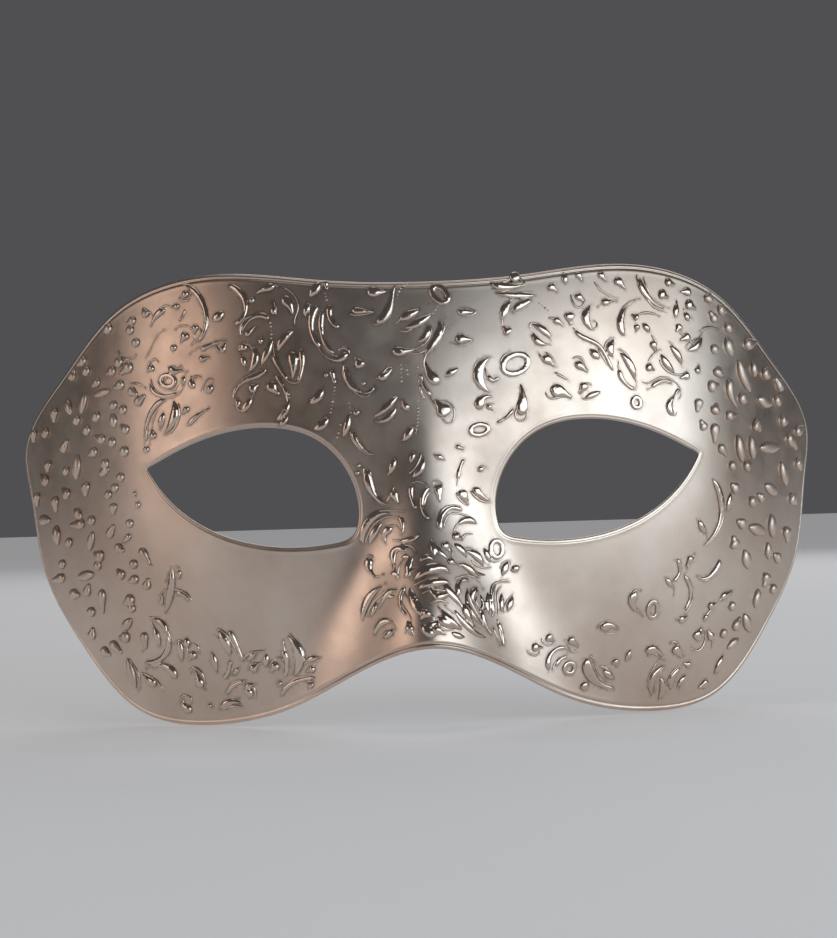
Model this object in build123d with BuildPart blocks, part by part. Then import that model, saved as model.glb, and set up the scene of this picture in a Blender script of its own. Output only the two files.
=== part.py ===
"""A half-face masquerade mask: moulded shell, piped relief, felt lining, foam pads and tie lugs.

Millimetres, +Z up. The mask is upright as worn and its painted front faces -Y. The origin is where
the bridge of the wearer's nose meets the lining, on the eye line. "left" and "right" are as seen by
someone who looks at the front of the mask, so left is -X.
"""

from build123d import *

import math
import os

# ---------------------------------------------------------------- driving dimensions

# Edge of the mask, in front view. Heights and depths are measured from the eye line.
half_width = 90.0  # centre line to the corner of a temple
temple_height = 9.5
brow_dip_height = 41.5  # the low middle of the upper edge
brow_lobe_height = 45.0
brow_lobe_reach = 46.0  # centre line to the top of a brow lobe
cheek_lobe_depth = 50.5
cheek_lobe_reach = 48.0
notch_depth = 34.0  # the arch over the nose tip

# Eye openings
eye_inner_reach = 14.5
eye_outer_reach = 59.0
eye_corner_height = 4.3  # the pointed outer corner
eye_top_height = 12.0
eye_low_depth = 12.9

# Form of the face, seen from above and from the side
temple_depth = 52.0  # how far the corner of a temple lies behind the brow
temple_squareness = 0.45  # share of that depth which comes on late, near the temple
brow_slope = 5.0  # how far the upper and lower edges fall back
nose_rise = 18.0
nose_mid_depth = 18.0  # where the nose has risen to half of that
nose_ramp = 9.0
bridge_spread = 7.0  # half breadth of the nose ridge at the eyes
nose_flare = 0.4  # how fast the flanks widen below them

# Shell
wall = 2.0

# Inside
soft_gap = 0.3  # between a soft piece and what it lies on
felt = 0.8
felt_inset = 2.5  # from the shell's edges to the felt's
foam = 4.0
brow_pad_length = 76.0
brow_pad_width = 11.0
brow_pad_height = 27.0
nose_pad_length = 19.0
nose_pad_width = 7.5
nose_pad_reach = 14.0
nose_pad_depth = 20.0
nose_pad_lean = 62.0
cheek_pad_length = 30.0
cheek_pad_width = 10.0
cheek_pad_reach = 47.0
cheek_pad_depth = 34.0
cheek_pad_lean = 14.0

# Tie lugs
tie_hole_radius = 2.1
lug_ring_wall = 2.0
lug_thickness = 2.4
lug_foot_radius = 6.0
lug_foot_thickness = 1.4
lug_neck = 2.2  # between the foot and the ring
lug_reach = 80.0
lug_height = 2.0

# Relief
glue_line = 0.1  # between the shell and what is bonded to it
bead_fullness = 0.92  # height of a stroke as a share of half its width

# The relief below is drawn for a mask of this size and stretches with the real one.
drawn_half_width = 90.0
drawn_height = 95.5

# How finely the form is followed
station_step = 6.0
margin = 6.0  # the form is made this much larger than the mask before it is trimmed
slope_step = 0.01

# Each stroke of relief: its kind, its width, and the points that it runs through, from its thick end.
# A ring has its centre, two half axes and tilt instead.
RELIEF = {
    "brow_relief_left": [
       
        ("reed", 1.3, (-40.2, 42.4), (-38.2, 41.2), (-36.9, 39), (-36.5, 37), (-37.4, 35.2), (-39, 33.9)),
        ("leaf", 2.0, (-43.8, 34.9), (-41.3, 36.8)),
        ("drop", 1.6, (-30.4, 41.7), (-32.2, 41.3), (-34.4, 40.2)), ("bead", 1.2, (-35.3, 38.9)),
        ("drop", 2.0, (-28.8, 39.2), (-27.4, 37.6), (-26.8, 35.4)),
        ("drop", 1.2, (-30.7, 35.6), (-30.9, 38.6)),
        ("reed", 1.1, (-31.8, 34.7), (-34, 35.6), (-36.2, 34.5), (-37.6, 32.4)),
        ("drop", 1.2, (-36.8, 31.4), (-34.6, 33.4)), ("drop", 1.7, (-36.6, 29.4), (-38.4, 28.4)),
        ("leaf", 1.6, (-35.3, 29.2), (-34.8, 26.6), (-36.3, 23.8)),
        ("leaf", 1.2, (-37.8, 27.6), (-37, 24.8)), ("leaf", 1.0, (-33.5, 31), (-33.7, 29.4)),
        ("leaf", 1.6, (-31, 30.6), (-32.2, 28), (-33.6, 25)),
        ("leaf", 1.6, (-26.6, 31.9), (-28.9, 30.2), (-30, 27.8)),
        ("reed", 1.1, (-31, 27), (-29.8, 24.4), (-28.2, 21.8)),
        ("drop", 2.0, (-27.2, 27.6), (-26.8, 25), (-27.2, 21.8)),
        ("reed", 1.1, (-25.3, 28), (-25, 24.8), (-26, 21.4)),
        ("reed", 1.1, (-32.6, 24.2), (-35.2, 22.6), (-38, 21.4), (-39.5, 19)),
        ("leaf", 1.1, (-38.8, 18.4), (-38.6, 16.2)), ("leaf", 1.5, (-35.7, 18.2), (-38, 15.2)),
        ("drop", 2.1, (-36.1, 19.9), (-34.3, 21)),
        ("drop", 2.2, (-32, 21.4), (-31, 19.8), (-29.8, 18.8)),
        ("reed", 1.0, (-30.6, 22.9), (-29.3, 20.8), (-28.3, 18.4)),
        ("leaf", 1.3, (-28, 17.4), (-28.7, 15.3), (-30.8, 13.4)),
        ("leaf", 1.1, (-28.2, 13.8), (-30.2, 12.1)), ("leaf", 1.3, (-23.3, 37.8), (-24.3, 35)),
        ("reed", 1.4, (-21.5, 37), (-22.9, 34), (-22.8, 31.5), (-21.2, 28.4)),
        ("reed", 1.1, (-20.4, 36), (-20.9, 32.5), (-20.1, 29), (-18.4, 26.9)),
        ("drop", 1.5, (-15.7, 27), (-17.4, 25.6), (-19.6, 26)),
        ("leaf", 1.9, (-20.8, 42.1), (-23.1, 39)), ("reed", 1.0, (-19.8, 42.2), (-19.4, 40.4)),
        ("reed", 1.2, (-18.9, 37), (-19, 34.5), (-18.2, 33), (-17.1, 32.4)),
        ("drop", 2.0, (-12.7, 23.7), (-14, 26.2)),
        ("drop", 2.2, (-10.9, 40), (-8.7, 39.4), (-7.2, 39.6)),
        ("drop", 1.9, (-9.3, 33), (-7.4, 34.6), (-6.3, 37.4), (-5.1, 40.8)),
        ("drop", 1.4, (-14.4, 35.8), (-9.9, 35.3)),
        ("drop", 1.6, (-9.3, 21.4), (-8, 21.9), (-6.4, 23.4)),
        ("reed", 1.4, (-16.1, 23.6), (-15.4, 21), (-13.8, 19), (-12, 18.4), (-10.1, 19.8)),
        ("bead", 0.9, (-12.4, 20.4)), ("leaf", 1.7, (-20.9, 19.8), (-21.8, 18), (-23.7, 16.6)),
        ("leaf", 1.7, (-20, 13.6), (-21.2, 12), (-23, 11.2)),
        ("leaf", 1.3, (-15.6, 14.2), (-16, 12), (-17, 9.3)),
        ("drop", 1.4, (-13.8, 13.9), (-14.6, 15.4)),
        ("leaf", 1.4, (-5.4, 17.6), (-7.4, 15.6), (-10.2, 13.4)),
        ("leaf", 1.3, (-5.8, 15.3), (-7.2, 13.4), (-9.6, 12.2)),
        ("drop", 1.4, (-3.5, 14.6), (-4.7, 16.9)), ("reed", 1.0, (-19, 23.4), (-18.3, 20.6)),
        ("bead", 0.9, (-20.1, 22.4)),
        ("drop", 1.2, (-14.7, 10.6), (-14.1, 8.2), (-12.6, 6.6), (-10.7, 5.5)),
        ("leaf", 1.5, (-2.4, 11.2), (-4.6, 8.1)),
    ],
    "brow_relief_centre": [
        ("ring", 1.1, (4, 38.6), 2.0, 1.3, -50), ("leaf", 1.9, (-4.6, 33.4), (-0.5, 35.4)),
        ("leaf", 1.8, (-3.4, 31.6), (-1, 32.6), (2, 34.4)),
        ("leaf", 1.5, (1.3, 32.4), (0.9, 30.2), (-1, 28.6)),
        ("drop", 2.0, (-6.2, 27), (-3.8, 26.8), (-1.6, 27.2)),
        ("leaf", 1.9, (3.6, 33), (3.3, 30), (1.6, 27.4), (0.5, 25.6)),
        ("drop", 2.2, (3.1, 20), (1.5, 21.6), (0.5, 24.6)), ("leaf", 1.5, (4.4, 21.3), (7.2, 23)),
        ("drop", 3.0, (4.7, 13.2), (2.2, 16.6)), ("reed", 0.9, (1.4, 17.4), (0.1, 19.4), (-0.6, 22)),
        ("drop", 1.5, (7.6, 34.8), (11, 34.6)), ("drop", 2.1, (6.9, 29.2), (10.3, 28.9)),
        ("leaf", 2.2, (13.9, 24.9), (11.7, 23), (11.5, 20.6), (13.5, 18)),
        ("reed", 1.0, (13.4, 21.4), (14.2, 20.3), (15.6, 20.9)),
        ("drop", 2.0, (11.5, 14.3), (11.6, 16.1), (14, 17)), ("drop", 1.2, (13, 15.2), (14.2, 14)),
        ("ring", 1.0, (11.2, 10.1), 1.8, 1.1, 8), ("drop", 1.8, (15, 40.6), (17.5, 40), (21.4, 40.2)),
        ("bead", 2.2, (19.8, 42)), ("leaf", 1.5, (15.4, 38.6), (19, 38.2), (24, 38)),
        ("leaf", 1.8, (23.2, 37), (20.8, 36), (19, 34.4)),
        ("leaf", 1.7, (18.8, 37.2), (17.4, 35), (16.8, 32.6)), ("drop", 2.0, (18.3, 30), (16.8, 31.6)),
        ("ring", 1.2, (19.2, 23.6), 2.8, 1.9, 22),
        ("leaf", 1.5, (23.1, 32), (25.2, 30.8), (26.9, 28.8)),
        ("leaf", 1.4, (23.3, 30.2), (24, 28.4), (26, 27.6)), ("drop", 1.5, (27.7, 33.1), (29.7, 31.6)),
        ("drop", 1.7, (27, 40.2), (28.8, 38.8)), ("drop", 2.0, (25.2, 25.2), (27.4, 23)),
        ("drop", 2.4, (19.8, 12.9), (20.4, 15.5), (20.1, 19.4)),
        ("reed", 0.8, (18.4, 14.2), (17, 12.6), (14.9, 11.5)),
        ("drop", 2.8, (26.4, 18), (28.6, 17.6), (30.8, 16.2)),
    ],
    "brow_relief_right": [
        ("drop", 1.8, (34, 19.4), (32.6, 17)), ("leaf", 1.3, (33.6, 16.2), (37.2, 17.6)),
        ("drop", 1.7, (32, 23.8), (34.6, 21.6)), ("drop", 2.2, (31, 34.4), (31.3, 31.6)),
        ("leaf", 1.7, (35.8, 35.9), (34.6, 33.4), (36, 30.6)),
        ("drop", 1.6, (32.7, 38.2), (34.6, 36.6)), ("drop", 1.4, (33.2, 43), (34.3, 41)),
        ("leaf", 1.3, (30.4, 43), (30.6, 40.4)),
        ("reed", 1.1, (32.2, 30.6), (34, 29), (36.6, 27.8), (38.6, 25.2), (40, 22)),
        ("leaf", 1.7, (35.2, 26.6), (37.2, 24.4)),
        ("leaf", 1.7, (40.6, 28.6), (39.6, 26.8), (40.2, 24.8)), ("drop", 1.5, (38, 43), (39.6, 41)),
        ("drop", 1.9, (41.6, 41.8), (43.8, 39.4)), ("drop", 1.6, (38.3, 36.5), (40.9, 36.8)),
        ("drop", 1.6, (43, 29.4), (42.2, 32), (43.2, 35), (46, 37.2)),
        ("drop", 1.6, (46.2, 33.2), (44.8, 34)), ("leaf", 1.7, (41.8, 25.8), (43.9, 23.2), (44.8, 20)),
        ("reed", 1.1, (41.4, 22.2), (42.4, 19.6), (44.6, 18)), ("ring", 0.9, (45, 15.2), 1.0, 1.1, 0),
        ("drop", 1.5, (47, 41.9), (48.2, 38.4), (50.2, 36.4), (52.4, 35.4)),
        ("drop", 2.3, (51.4, 38.9), (53.4, 37.8)), ("drop", 1.9, (53, 41.4), (55.2, 40.8)),
        ("drop", 2.0, (58.8, 39.4), (56.4, 39.2)), ("drop", 2.3, (57.6, 36.9), (60, 35.6)),
        ("leaf", 1.4, (55.4, 36.8), (54.8, 33.4)), ("leaf", 1.5, (57.2, 34.9), (58, 32.8)),
        ("drop", 1.4, (46, 31.8), (45.6, 30.2)), ("leaf", 1.4, (47.2, 32.2), (48.8, 30.2)),
        ("drop", 1.7, (56, 31.9), (54.8, 30.4)), ("drop", 1.8, (58, 29.6), (55.6, 28.6)),
        ("leaf", 1.7, (57.4, 26.4), (59.4, 27.4), (61, 29.4)),
        ("drop", 1.6, (49.2, 28.3), (49.8, 25.8)),
        ("leaf", 1.6, (53.2, 27.4), (54.8, 25.6), (55.8, 23.4)),
        ("leaf", 1.6, (51, 25.6), (52.2, 23.6), (54, 21.6)), ("drop", 1.8, (47.6, 23), (49.4, 22)),
        ("drop", 1.7, (57.4, 21.2), (55.2, 20.4)), ("drop", 1.5, (59.3, 21.6), (60, 23.4)),
        ("reed", 1.0, (48.6, 18.4), (51, 19.8), (53.2, 19.4)),
        ("drop", 1.5, (53.4, 12.5), (52.4, 14.4), (53.4, 16.4), (55, 18)),
    ],
    "bridge_relief": [
        ("drop", 1.8, (-12.2, 2.6), (-12, 0), (-10.6, -3), (-8, -5)), ("bead", 0.9, (-13.9, 3.4)),
        ("bead", 0.9, (-14.2, 1.9)), ("leaf", 1.3, (-6.3, 4.8), (-7.6, 1.4)),
        ("leaf", 1.5, (-0.6, 4.9), (-1.2, 2.6), (-3, 0.6)), ("leaf", 1.1, (-2.4, 6), (-3.3, 3.6)),
        ("drop", 1.6, (-7.2, -2), (-6, -4.6)), ("reed", 1.0, (-3.2, -0.8), (-3.3, -3.4), (-2.4, -5.8)),
        ("reed", 1.0, (0.4, -1.4), (-1, -3.4), (-1.2, -5.8), (0.2, -8)),
        ("drop", 1.9, (2.2, -0.9), (2.5, -4.7)), ("drop", 1.2, (2.1, 5), (3.9, 4)),
        ("drop", 2.1, (7, -2.2), (7.5, -3.8), (8.4, -5.5)),
        ("reed", 0.9, (6.4, 0), (6.8, 2), (7.8, 4.1)),
        ("drop", 1.7, (9.7, -1.7), (11.2, -3.6), (13, -4.6)), ("drop", 1.2, (10.7, 1.7), (12.2, 2.5)),
        ("reed", 1.0, (6.2, 6.8), (7.8, 6.2)),
    ],
    "nose_relief_left": [
        ("leaf", 1.8, (-7.8, -6.6), (-10.8, -7), (-13, -9.4), (-13.4, -12.8)),
        ("leaf", 1.6, (-9.4, -8.6), (-10.8, -10), (-12, -12.8)),
        ("drop", 1.7, (-7.4, -9.6), (-8.9, -10.6), (-8.8, -12.8)),
        ("reed", 1.0, (-6, -7.2), (-5.3, -8.8), (-5.7, -11)),
        ("drop", 1.8, (-12.1, -15.5), (-12.4, -17.6), (-11, -19.6)),
        ("drop", 1.5, (-4.8, -14.4), (-6.8, -14), (-7.4, -16.6), (-6.4, -19.6)),
        ("leaf", 1.2, (-2, -11.2), (-4, -12.1), (-6.4, -12.2)),
        ("leaf", 1.5, (-3.4, -15.4), (-4.4, -17.4), (-4.2, -19.6)),
        ("leaf", 1.9, (-9.8, -21.4), (-12.4, -23.6), (-14, -28.6)),
        ("leaf", 1.2, (-11, -24.6), (-12.2, -27.6)),
        ("leaf", 1.3, (-6.8, -22), (-8.8, -23), (-10.2, -25.4)),
        ("leaf", 1.6, (-11.5, -31.2), (-10.4, -28.9), (-7.8, -28.5)),
        ("leaf", 1.4, (-7.6, -30), (-9.8, -31.8)),
        ("reed", 1.2, (-5.2, -21.6), (-6.3, -24), (-5.2, -27.2)),
        ("drop", 1.8, (-4.8, -30.4), (-4.4, -28.4)), ("bead", 1.6, (-3.4, -24.2)),
    ],
    "nose_relief_tip": [
        ("leaf", 2.3, (-3.4, -20.2), (-1, -18.4), (1.4, -17.8), (3.8, -19)),
        ("leaf", 1.9, (-2.6, -22), (0.6, -20.7), (4, -21.2)), ("drop", 1.8, (0.4, -23.8), (4.2, -23)),
        ("drop", 2.0, (-0.6, -26.4), (-2.4, -28)), ("leaf", 1.8, (1.6, -26), (3.6, -28.6), (6, -30.4)),
        ("drop", 1.8, (0, -29.8), (2.6, -31.2)), ("leaf", 1.2, (0.4, -12), (1, -15.6)),
    ],
    "nose_relief_right": [
        ("reed", 1.3, (2.6, -10.2), (2.7, -7.4), (4.6, -5.9), (7, -6.6)),
        ("leaf", 1.5, (6, -9.4), (7.8, -8.4), (10, -9.4)), ("drop", 1.9, (4.9, -11.2), (7, -12.6)),
        ("drop", 1.9, (2.8, -12.8), (4.2, -14.8)), ("drop", 1.6, (3.6, -16.4), (5.6, -17.4)),
        ("leaf", 1.8, (7.6, -14.8), (9.4, -15.6), (11, -18)),
        ("leaf", 1.2, (11.3, -14.2), (12.6, -17.4)), ("ring", 1.0, (14, -14.6), 1.3, 1.7, 0),
        ("leaf", 1.6, (15, -20.2), (16.2, -17)), ("leaf", 1.6, (16.8, -19.2), (18.8, -18.4)),
        ("leaf", 1.6, (6, -17.2), (8, -18.4), (9.8, -20.4)),
        ("reed", 1.2, (5.8, -23.6), (5.8, -21), (7.8, -20.6)),
        ("drop", 1.6, (9.8, -22.4), (8.4, -23.6), (9.4, -25.8)),
        ("reed", 1.1, (12.9, -28), (12.6, -24.4), (13.6, -21.8), (16.6, -21.4)),
        ("leaf", 1.2, (14.5, -27.6), (14.7, -23.6)), ("leaf", 1.5, (15.8, -27.6), (17, -24.2)),
        ("drop", 1.8, (6.4, -25.4), (7.4, -28), (8.8, -30.6)),
        ("reed", 1.1, (10.4, -27), (10.8, -29.6), (12.4, -32)),
        ("reed", 1.1, (13.6, -29.6), (14.4, -32), (14.6, -34.4)),
    ],
    "eye_corner_relief_left": [
        ("bead", 1.6, (-49.6, 41.2)),
        ("reed", 1.3, (-49.4, 43.1), (-47.2, 41.2), (-45.3, 37), (-45.4, 33.6), (-47, 30.8)),
        ("drop", 1.5, (-54.2, 38.2), (-56, 37.2), (-57.4, 34.6)),
        ("drop", 1.3, (-51, 38.8), (-53, 38.6)), ("drop", 2.0, (-49.4, 32.8), (-50.8, 30.8)),
        ("bead", 1.5, (-52.4, 29.8)), ("drop", 1.5, (-47.4, 34.4), (-47.8, 32.4)),
        ("drop", 1.7, (-57, 26.2), (-58.4, 25)), ("ring", 1.0, (-53.8, 22.8), 1.8, 1.2, -15),
        ("drop", 1.7, (-53.4, 25.8), (-51.6, 24.8), (-50.4, 25.2)),
        ("drop", 1.5, (-48, 21), (-48.8, 22.8), (-46.8, 23.2)),
        ("reed", 1.1, (-57.6, 22.4), (-56.6, 20.4), (-54.4, 19.6), (-51.8, 20.2)),
        ("leaf", 1.1, (-50.2, 23.8), (-50.6, 21.6)),
        ("leaf", 2.0, (-52.6, 18.6), (-52.5, 15.2), (-54.6, 11.8)),
        ("reed", 1.2, (-54.4, 18.8), (-57, 17.2), (-58.6, 14), (-58.9, 10.2)),
        ("drop", 1.7, (-57.2, 10.7), (-57.6, 12.8)), ("leaf", 1.4, (-54.9, 16.2), (-55.8, 13)),
        ("drop", 1.3, (-49.3, 17), (-51, 15.4)), ("drop", 1.2, (-49.6, 13), (-48, 14.6), (-44.6, 16.6)),
        ("bead", 1.4, (-58.9, 8.5)), ("drop", 1.4, (-46.8, 27), (-44.4, 27.4)),
        ("drop", 1.3, (-42, 28.2), (-41, 30.2)),
        ("reed", 1.1, (-46.4, 28.8), (-44.6, 29.8), (-42.4, 30.4)),
        ("leaf", 1.4, (-45, 19.6), (-44.2, 21.6)), ("bead", 1.2, (-61.2, -3.2)),
        ("bead", 1.0, (-61.9, -0.8)), ("drop", 1.3, (-63.2, -9.6), (-65, -11.4)),
    ],
    "cheek_relief_right": [
        ("drop", 1.7, (62.2, -1.4), (63.9, -5), (64, -9), (62.2, -13), (59.8, -15.4)),
        ("leaf", 1.5, (58.4, -10), (60, -13)), ("drop", 1.7, (56.7, -17.7), (55.2, -20)),
        ("reed", 1.0, (53.2, -18.2), (53.8, -20.6), (52.2, -22.8)),
        ("leaf", 1.2, (52, -24), (50.4, -22)),
        ("reed", 1.0, (54.8, -21.8), (56.2, -24.6), (55.8, -27.4), (54.8, -29)),
        ("drop", 1.6, (53.4, -31.4), (55.4, -30.4)),
        ("drop", 1.6, (63.4, -18.7), (62.4, -21), (60, -22.6), (57.6, -21.8)),
        ("drop", 1.9, (60.6, -29), (62.2, -28)), ("drop", 1.5, (63.6, -27), (66.6, -25.6)),
        ("leaf", 1.2, (59.2, -31.4), (60.4, -30.6)), ("leaf", 1.4, (66.6, -4.2), (65.6, -8.4)),
    ],
    "lobe_relief_left": [
        ("leaf", 1.8, (-54, -16.4), (-54.2, -20.6), (-55.8, -26.4)),
        ("reed", 1.0, (-56.6, -24.6), (-56.2, -22.4)),
        ("reed", 1.1, (-53.2, -22), (-51.8, -22.3), (-50.4, -23.6)),
        ("leaf", 1.0, (-52.3, -17.2), (-52.6, -19.2)),
        ("reed", 1.5, (-58.8, -27.6), (-56.4, -28.8), (-55.2, -32), (-56, -35), (-58, -36.6), (-60.6, -36.9)),
        ("leaf", 1.4, (-58.6, -29.2), (-57.2, -33.4)),
        ("drop", 1.7, (-54, -40.4), (-55.8, -38), (-59.4, -38)),
        ("drop", 2.0, (-58.6, -42), (-61.6, -39.6)), ("leaf", 1.5, (-53, -32), (-52.4, -36.6)),
        ("leaf", 1.5, (-51.4, -31.6), (-51.2, -34)), ("drop", 1.8, (-49.6, -34.8), (-51, -36.4)),
        ("drop", 1.8, (-48.4, -42.4), (-49.6, -38.6)),
        ("drop", 1.7, (-50.8, -47.2), (-52.6, -46), (-52.6, -44.8)),
        ("leaf", 1.4, (-45.8, -34.8), (-45, -39)),
        ("leaf", 2.0, (-44.2, -30.2), (-43, -32.4), (-42, -35.4)),
        ("reed", 1.1, (-42, -30.2), (-40.6, -33.2), (-39.4, -36.6)),
        ("reed", 1.0, (-43.6, -40.4), (-42.4, -38.6), (-42, -36.6)),
        ("leaf", 1.0, (-41.6, -39.6), (-40, -38)), ("drop", 1.8, (-37.6, -38.6), (-35.8, -37)),
        ("leaf", 1.2, (-38.3, -36.6), (-36.4, -34.6)), ("leaf", 1.4, (-34.2, -35.2), (-34.6, -37.8)),
        ("drop", 2.0, (-32, -37.2), (-33.5, -38.9)),
        ("leaf", 2.2, (-29.6, -31.6), (-27.4, -34.6), (-28.4, -39.8)),
        ("reed", 1.2, (-30.8, -34.4), (-30, -37.2), (-30.6, -40)), ("bead", 1.1, (-31.6, -41.4)),
        ("leaf", 1.3, (-23.2, -35.8), (-26.2, -36.7)), ("drop", 1.5, (-24.2, -38.2), (-26, -38.8)),
        ("reed", 1.0, (-31.4, -44), (-30.2, -42.2), (-27, -40.6), (-24, -40.1)),
        ("drop", 1.5, (-24.8, -42.2), (-25.6, -40.9)),
        ("reed", 1.0, (-43, -43.6), (-41.4, -41.8), (-39, -41)),
        ("drop", 1.7, (-37.6, -44.2), (-38.4, -42.2), (-36.6, -41.6)),
        ("drop", 1.8, (-44.2, -46.9), (-42.4, -45.4), (-40, -45.6)), ("bead", 1.0, (-46.8, -46.2)),
    ],
    "lobe_relief_right": [
        ("drop", 1.8, (20.8, -35.1), (23.2, -35.3)), ("drop", 1.8, (24, -33), (25.6, -34.2)),
        ("drop", 1.7, (28.8, -33.8), (30.8, -35.6)),
        ("reed", 1.2, (24.4, -40), (24.4, -37.6), (25.8, -36), (28, -35.8)),
        ("reed", 1.0, (25.9, -39.4), (26.6, -38.2), (28.4, -37.6)),
        ("ring", 0.9, (28.8, -40), 1.2, 1.1, 0),
        ("drop", 2.4, (32.8, -38.2), (33, -41), (35, -43.4), (38.6, -45)),
        ("leaf", 1.4, (36.2, -40.8), (38.4, -43)), ("bead", 1.9, (32, -44)),
        ("drop", 1.6, (38.7, -38.7), (39.4, -40.4)), ("leaf", 1.1, (42.3, -36.9), (41.2, -39.4)),
        ("drop", 2.0, (45.8, -37.6), (47.4, -37.2), (49.4, -38.8)),
        ("leaf", 1.6, (47, -47), (47, -44), (49.6, -40.8)),
        ("leaf", 1.4, (48.5, -48), (49.5, -45.6), (49, -43.2)),
        ("drop", 2.0, (52.2, -36.8), (54, -39.4)),
        ("leaf", 1.5, (51.4, -46.2), (51.6, -43.8), (53.6, -41.4)),
        ("leaf", 1.4, (53, -45.6), (54.8, -43.2)), ("drop", 1.5, (56, -41.2), (54.4, -40.6)),
        ("drop", 2.4, (57.2, -35.6), (58.8, -33.2)), ("drop", 1.8, (61.4, -35.8), (60.2, -33.8)),
        ("leaf", 1.6, (64, -39.6), (62, -43.6)), ("drop", 2.0, (60.2, -45.2), (58, -46.2)),
        ("drop", 1.8, (43.8, -24.7), (42.7, -26.6), (44.6, -29.2)),
        ("ring", 0.9, (47.4, -28.6), 1.2, 1.7, 0),
        ("drop", 1.8, (35.8, -32.2), (37.2, -31.5), (39.6, -32.4)),
    ],
    "temple_relief_left": [
        ("bead", 1.7, (-67.4, 35.2)), ("bead", 1.4, (-62.2, 34.4)), ("bead", 1.4, (-60.9, 31.6)),
        ("drop", 1.4, (-58.4, 37.2), (-59, 38.8)), ("drop", 1.4, (-61.2, 36.6), (-62.8, 36)),
        ("bead", 1.7, (-64.9, 27.6)), ("drop", 2.0, (-62.1, 26.8), (-64.4, 25.2)),
        ("drop", 1.7, (-66, 26), (-67.8, 25.4)), ("drop", 1.6, (-73.2, 29), (-75, 28)),
        ("bead", 1.5, (-72.8, 26.4)), ("drop", 1.5, (-69.8, 24), (-71.2, 23)),
        ("drop", 1.6, (-64.1, 22.9), (-66, 22.2)), ("leaf", 1.2, (-67.4, 21.6), (-70.8, 21)),
        ("drop", 1.5, (-62.4, 21.4), (-61, 20.4)), ("drop", 1.5, (-61, 18.4), (-59.2, 20)),
        ("drop", 1.8, (-76.6, 25), (-76, 27)), ("bead", 1.4, (-66.3, 18.4)),
        ("bead", 1.4, (-64.1, 17.3)), ("leaf", 1.4, (-73.2, 21.4), (-74.2, 17.4)),
        ("bead", 1.6, (-75.4, 15.8)), ("bead", 1.7, (-70.5, 16.2)),
        ("drop", 1.8, (-81.2, 18.6), (-81.4, 16)), ("leaf", 1.4, (-78, 20.4), (-77, 17.4)),
        ("drop", 1.8, (-87, 14.4), (-87.2, 12)), ("bead", 1.7, (-83.8, 13.6)),
        ("bead", 1.6, (-72.9, 13.4)), ("drop", 1.4, (-63.2, 12.6), (-64.6, 14)),
        ("leaf", 1.3, (-66.6, 16.4), (-66.2, 13.8)), ("drop", 1.5, (-68.8, 11), (-71, 12)),
        ("bead", 1.5, (-66.8, 10.4)), ("drop", 1.9, (-79.2, 9.4), (-78, 11.4)),
        ("bead", 1.7, (-64, 8.3)), ("drop", 1.5, (-70.8, 8.8), (-72.4, 8)),
        ("leaf", 2.0, (-75.4, 8), (-75.8, 3)), ("drop", 1.7, (-83.2, 7), (-83.4, 5)),
        ("bead", 1.5, (-68.6, 5.9)), ("bead", 1.5, (-78.4, 4.8)),
        ("leaf", 1.3, (-69.9, 3.6), (-67.8, 4.8)), ("bead", 1.4, (-65, 2.8)),
        ("drop", 1.8, (-83.6, 2.4), (-85.4, 4.2)), ("drop", 1.9, (-73.4, 1.8), (-73.6, -0.8)),
        ("bead", 1.3, (-66.4, 0.6)), ("drop", 1.8, (-86.6, 0), (-86.6, -2.6)),
        ("drop", 1.8, (-81.6, -1), (-81.4, -4)), ("drop", 1.8, (-78, -0.8), (-79.4, 0.8)),
        ("bead", 1.3, (-68, -0.8)), ("drop", 1.4, (-66.8, -3), (-67, -5)),
        ("drop", 1.6, (-74.4, -7), (-77.6, -7.2)), ("leaf", 1.4, (-76.4, -3.8), (-75, -5.6)),
        ("bead", 1.5, (-72.3, -6.3)), ("drop", 1.7, (-85.6, -5.8), (-83.2, -6)),
        ("leaf", 2.0, (-81.6, -7.4), (-81.2, -11.2)), ("bead", 1.5, (-78.2, -11)),
        ("leaf", 1.4, (-72.2, -9), (-73, -12.6)), ("drop", 1.5, (-68.2, -9.8), (-67, -7.6)),
        ("drop", 1.4, (-66.4, -12), (-65, -13)), ("bead", 1.3, (-63.2, -7.2)),
        ("drop", 2.0, (-70, -14.4), (-71.8, -13.4)), ("bead", 1.4, (-71.2, -16.2)),
        ("bead", 1.4, (-80.2, -15.8)), ("drop", 1.4, (-60.8, -12.8), (-59, -15.8)),
        ("bead", 1.4, (-62.6, -15.9)), ("drop", 1.6, (-65.2, -18.6), (-66.4, -17.2)),
        ("drop", 1.4, (-62, -19), (-63.8, -19.6)), ("leaf", 1.6, (-72.4, -18), (-76, -18.6)),
        ("drop", 1.6, (-80, -18.8), (-82.8, -19.4)), ("drop", 1.4, (-59.9, -21), (-59.4, -19.2)),
        ("drop", 1.8, (-78, -22.4), (-76.2, -22.6)), ("drop", 1.5, (-74.2, -22.4), (-73.6, -20.4)),
        ("drop", 1.5, (-70.4, -21.6), (-70.4, -26.4)), ("drop", 1.8, (-63.2, -23.2), (-65, -24.4)),
        ("bead", 1.3, (-63.4, -25.4)), ("bead", 1.6, (-73.2, -26.3)),
        ("leaf", 1.5, (-63.8, -27.8), (-65.6, -30)), ("drop", 1.9, (-64.6, -31.6), (-66.4, -31.8)),
        ("drop", 1.6, (-73.4, -32), (-73, -30)), ("drop", 1.6, (-68.6, -33), (-66.4, -35)),
        ("drop", 1.6, (-70.8, -34.6), (-69.2, -35.6)), ("drop", 1.3, (-60.8, -30.8), (-60.6, -34)),
        ("leaf", 1.5, (-64.8, -36.6), (-63.4, -42.6)),
    ],
    "temple_relief_right": [
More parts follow.
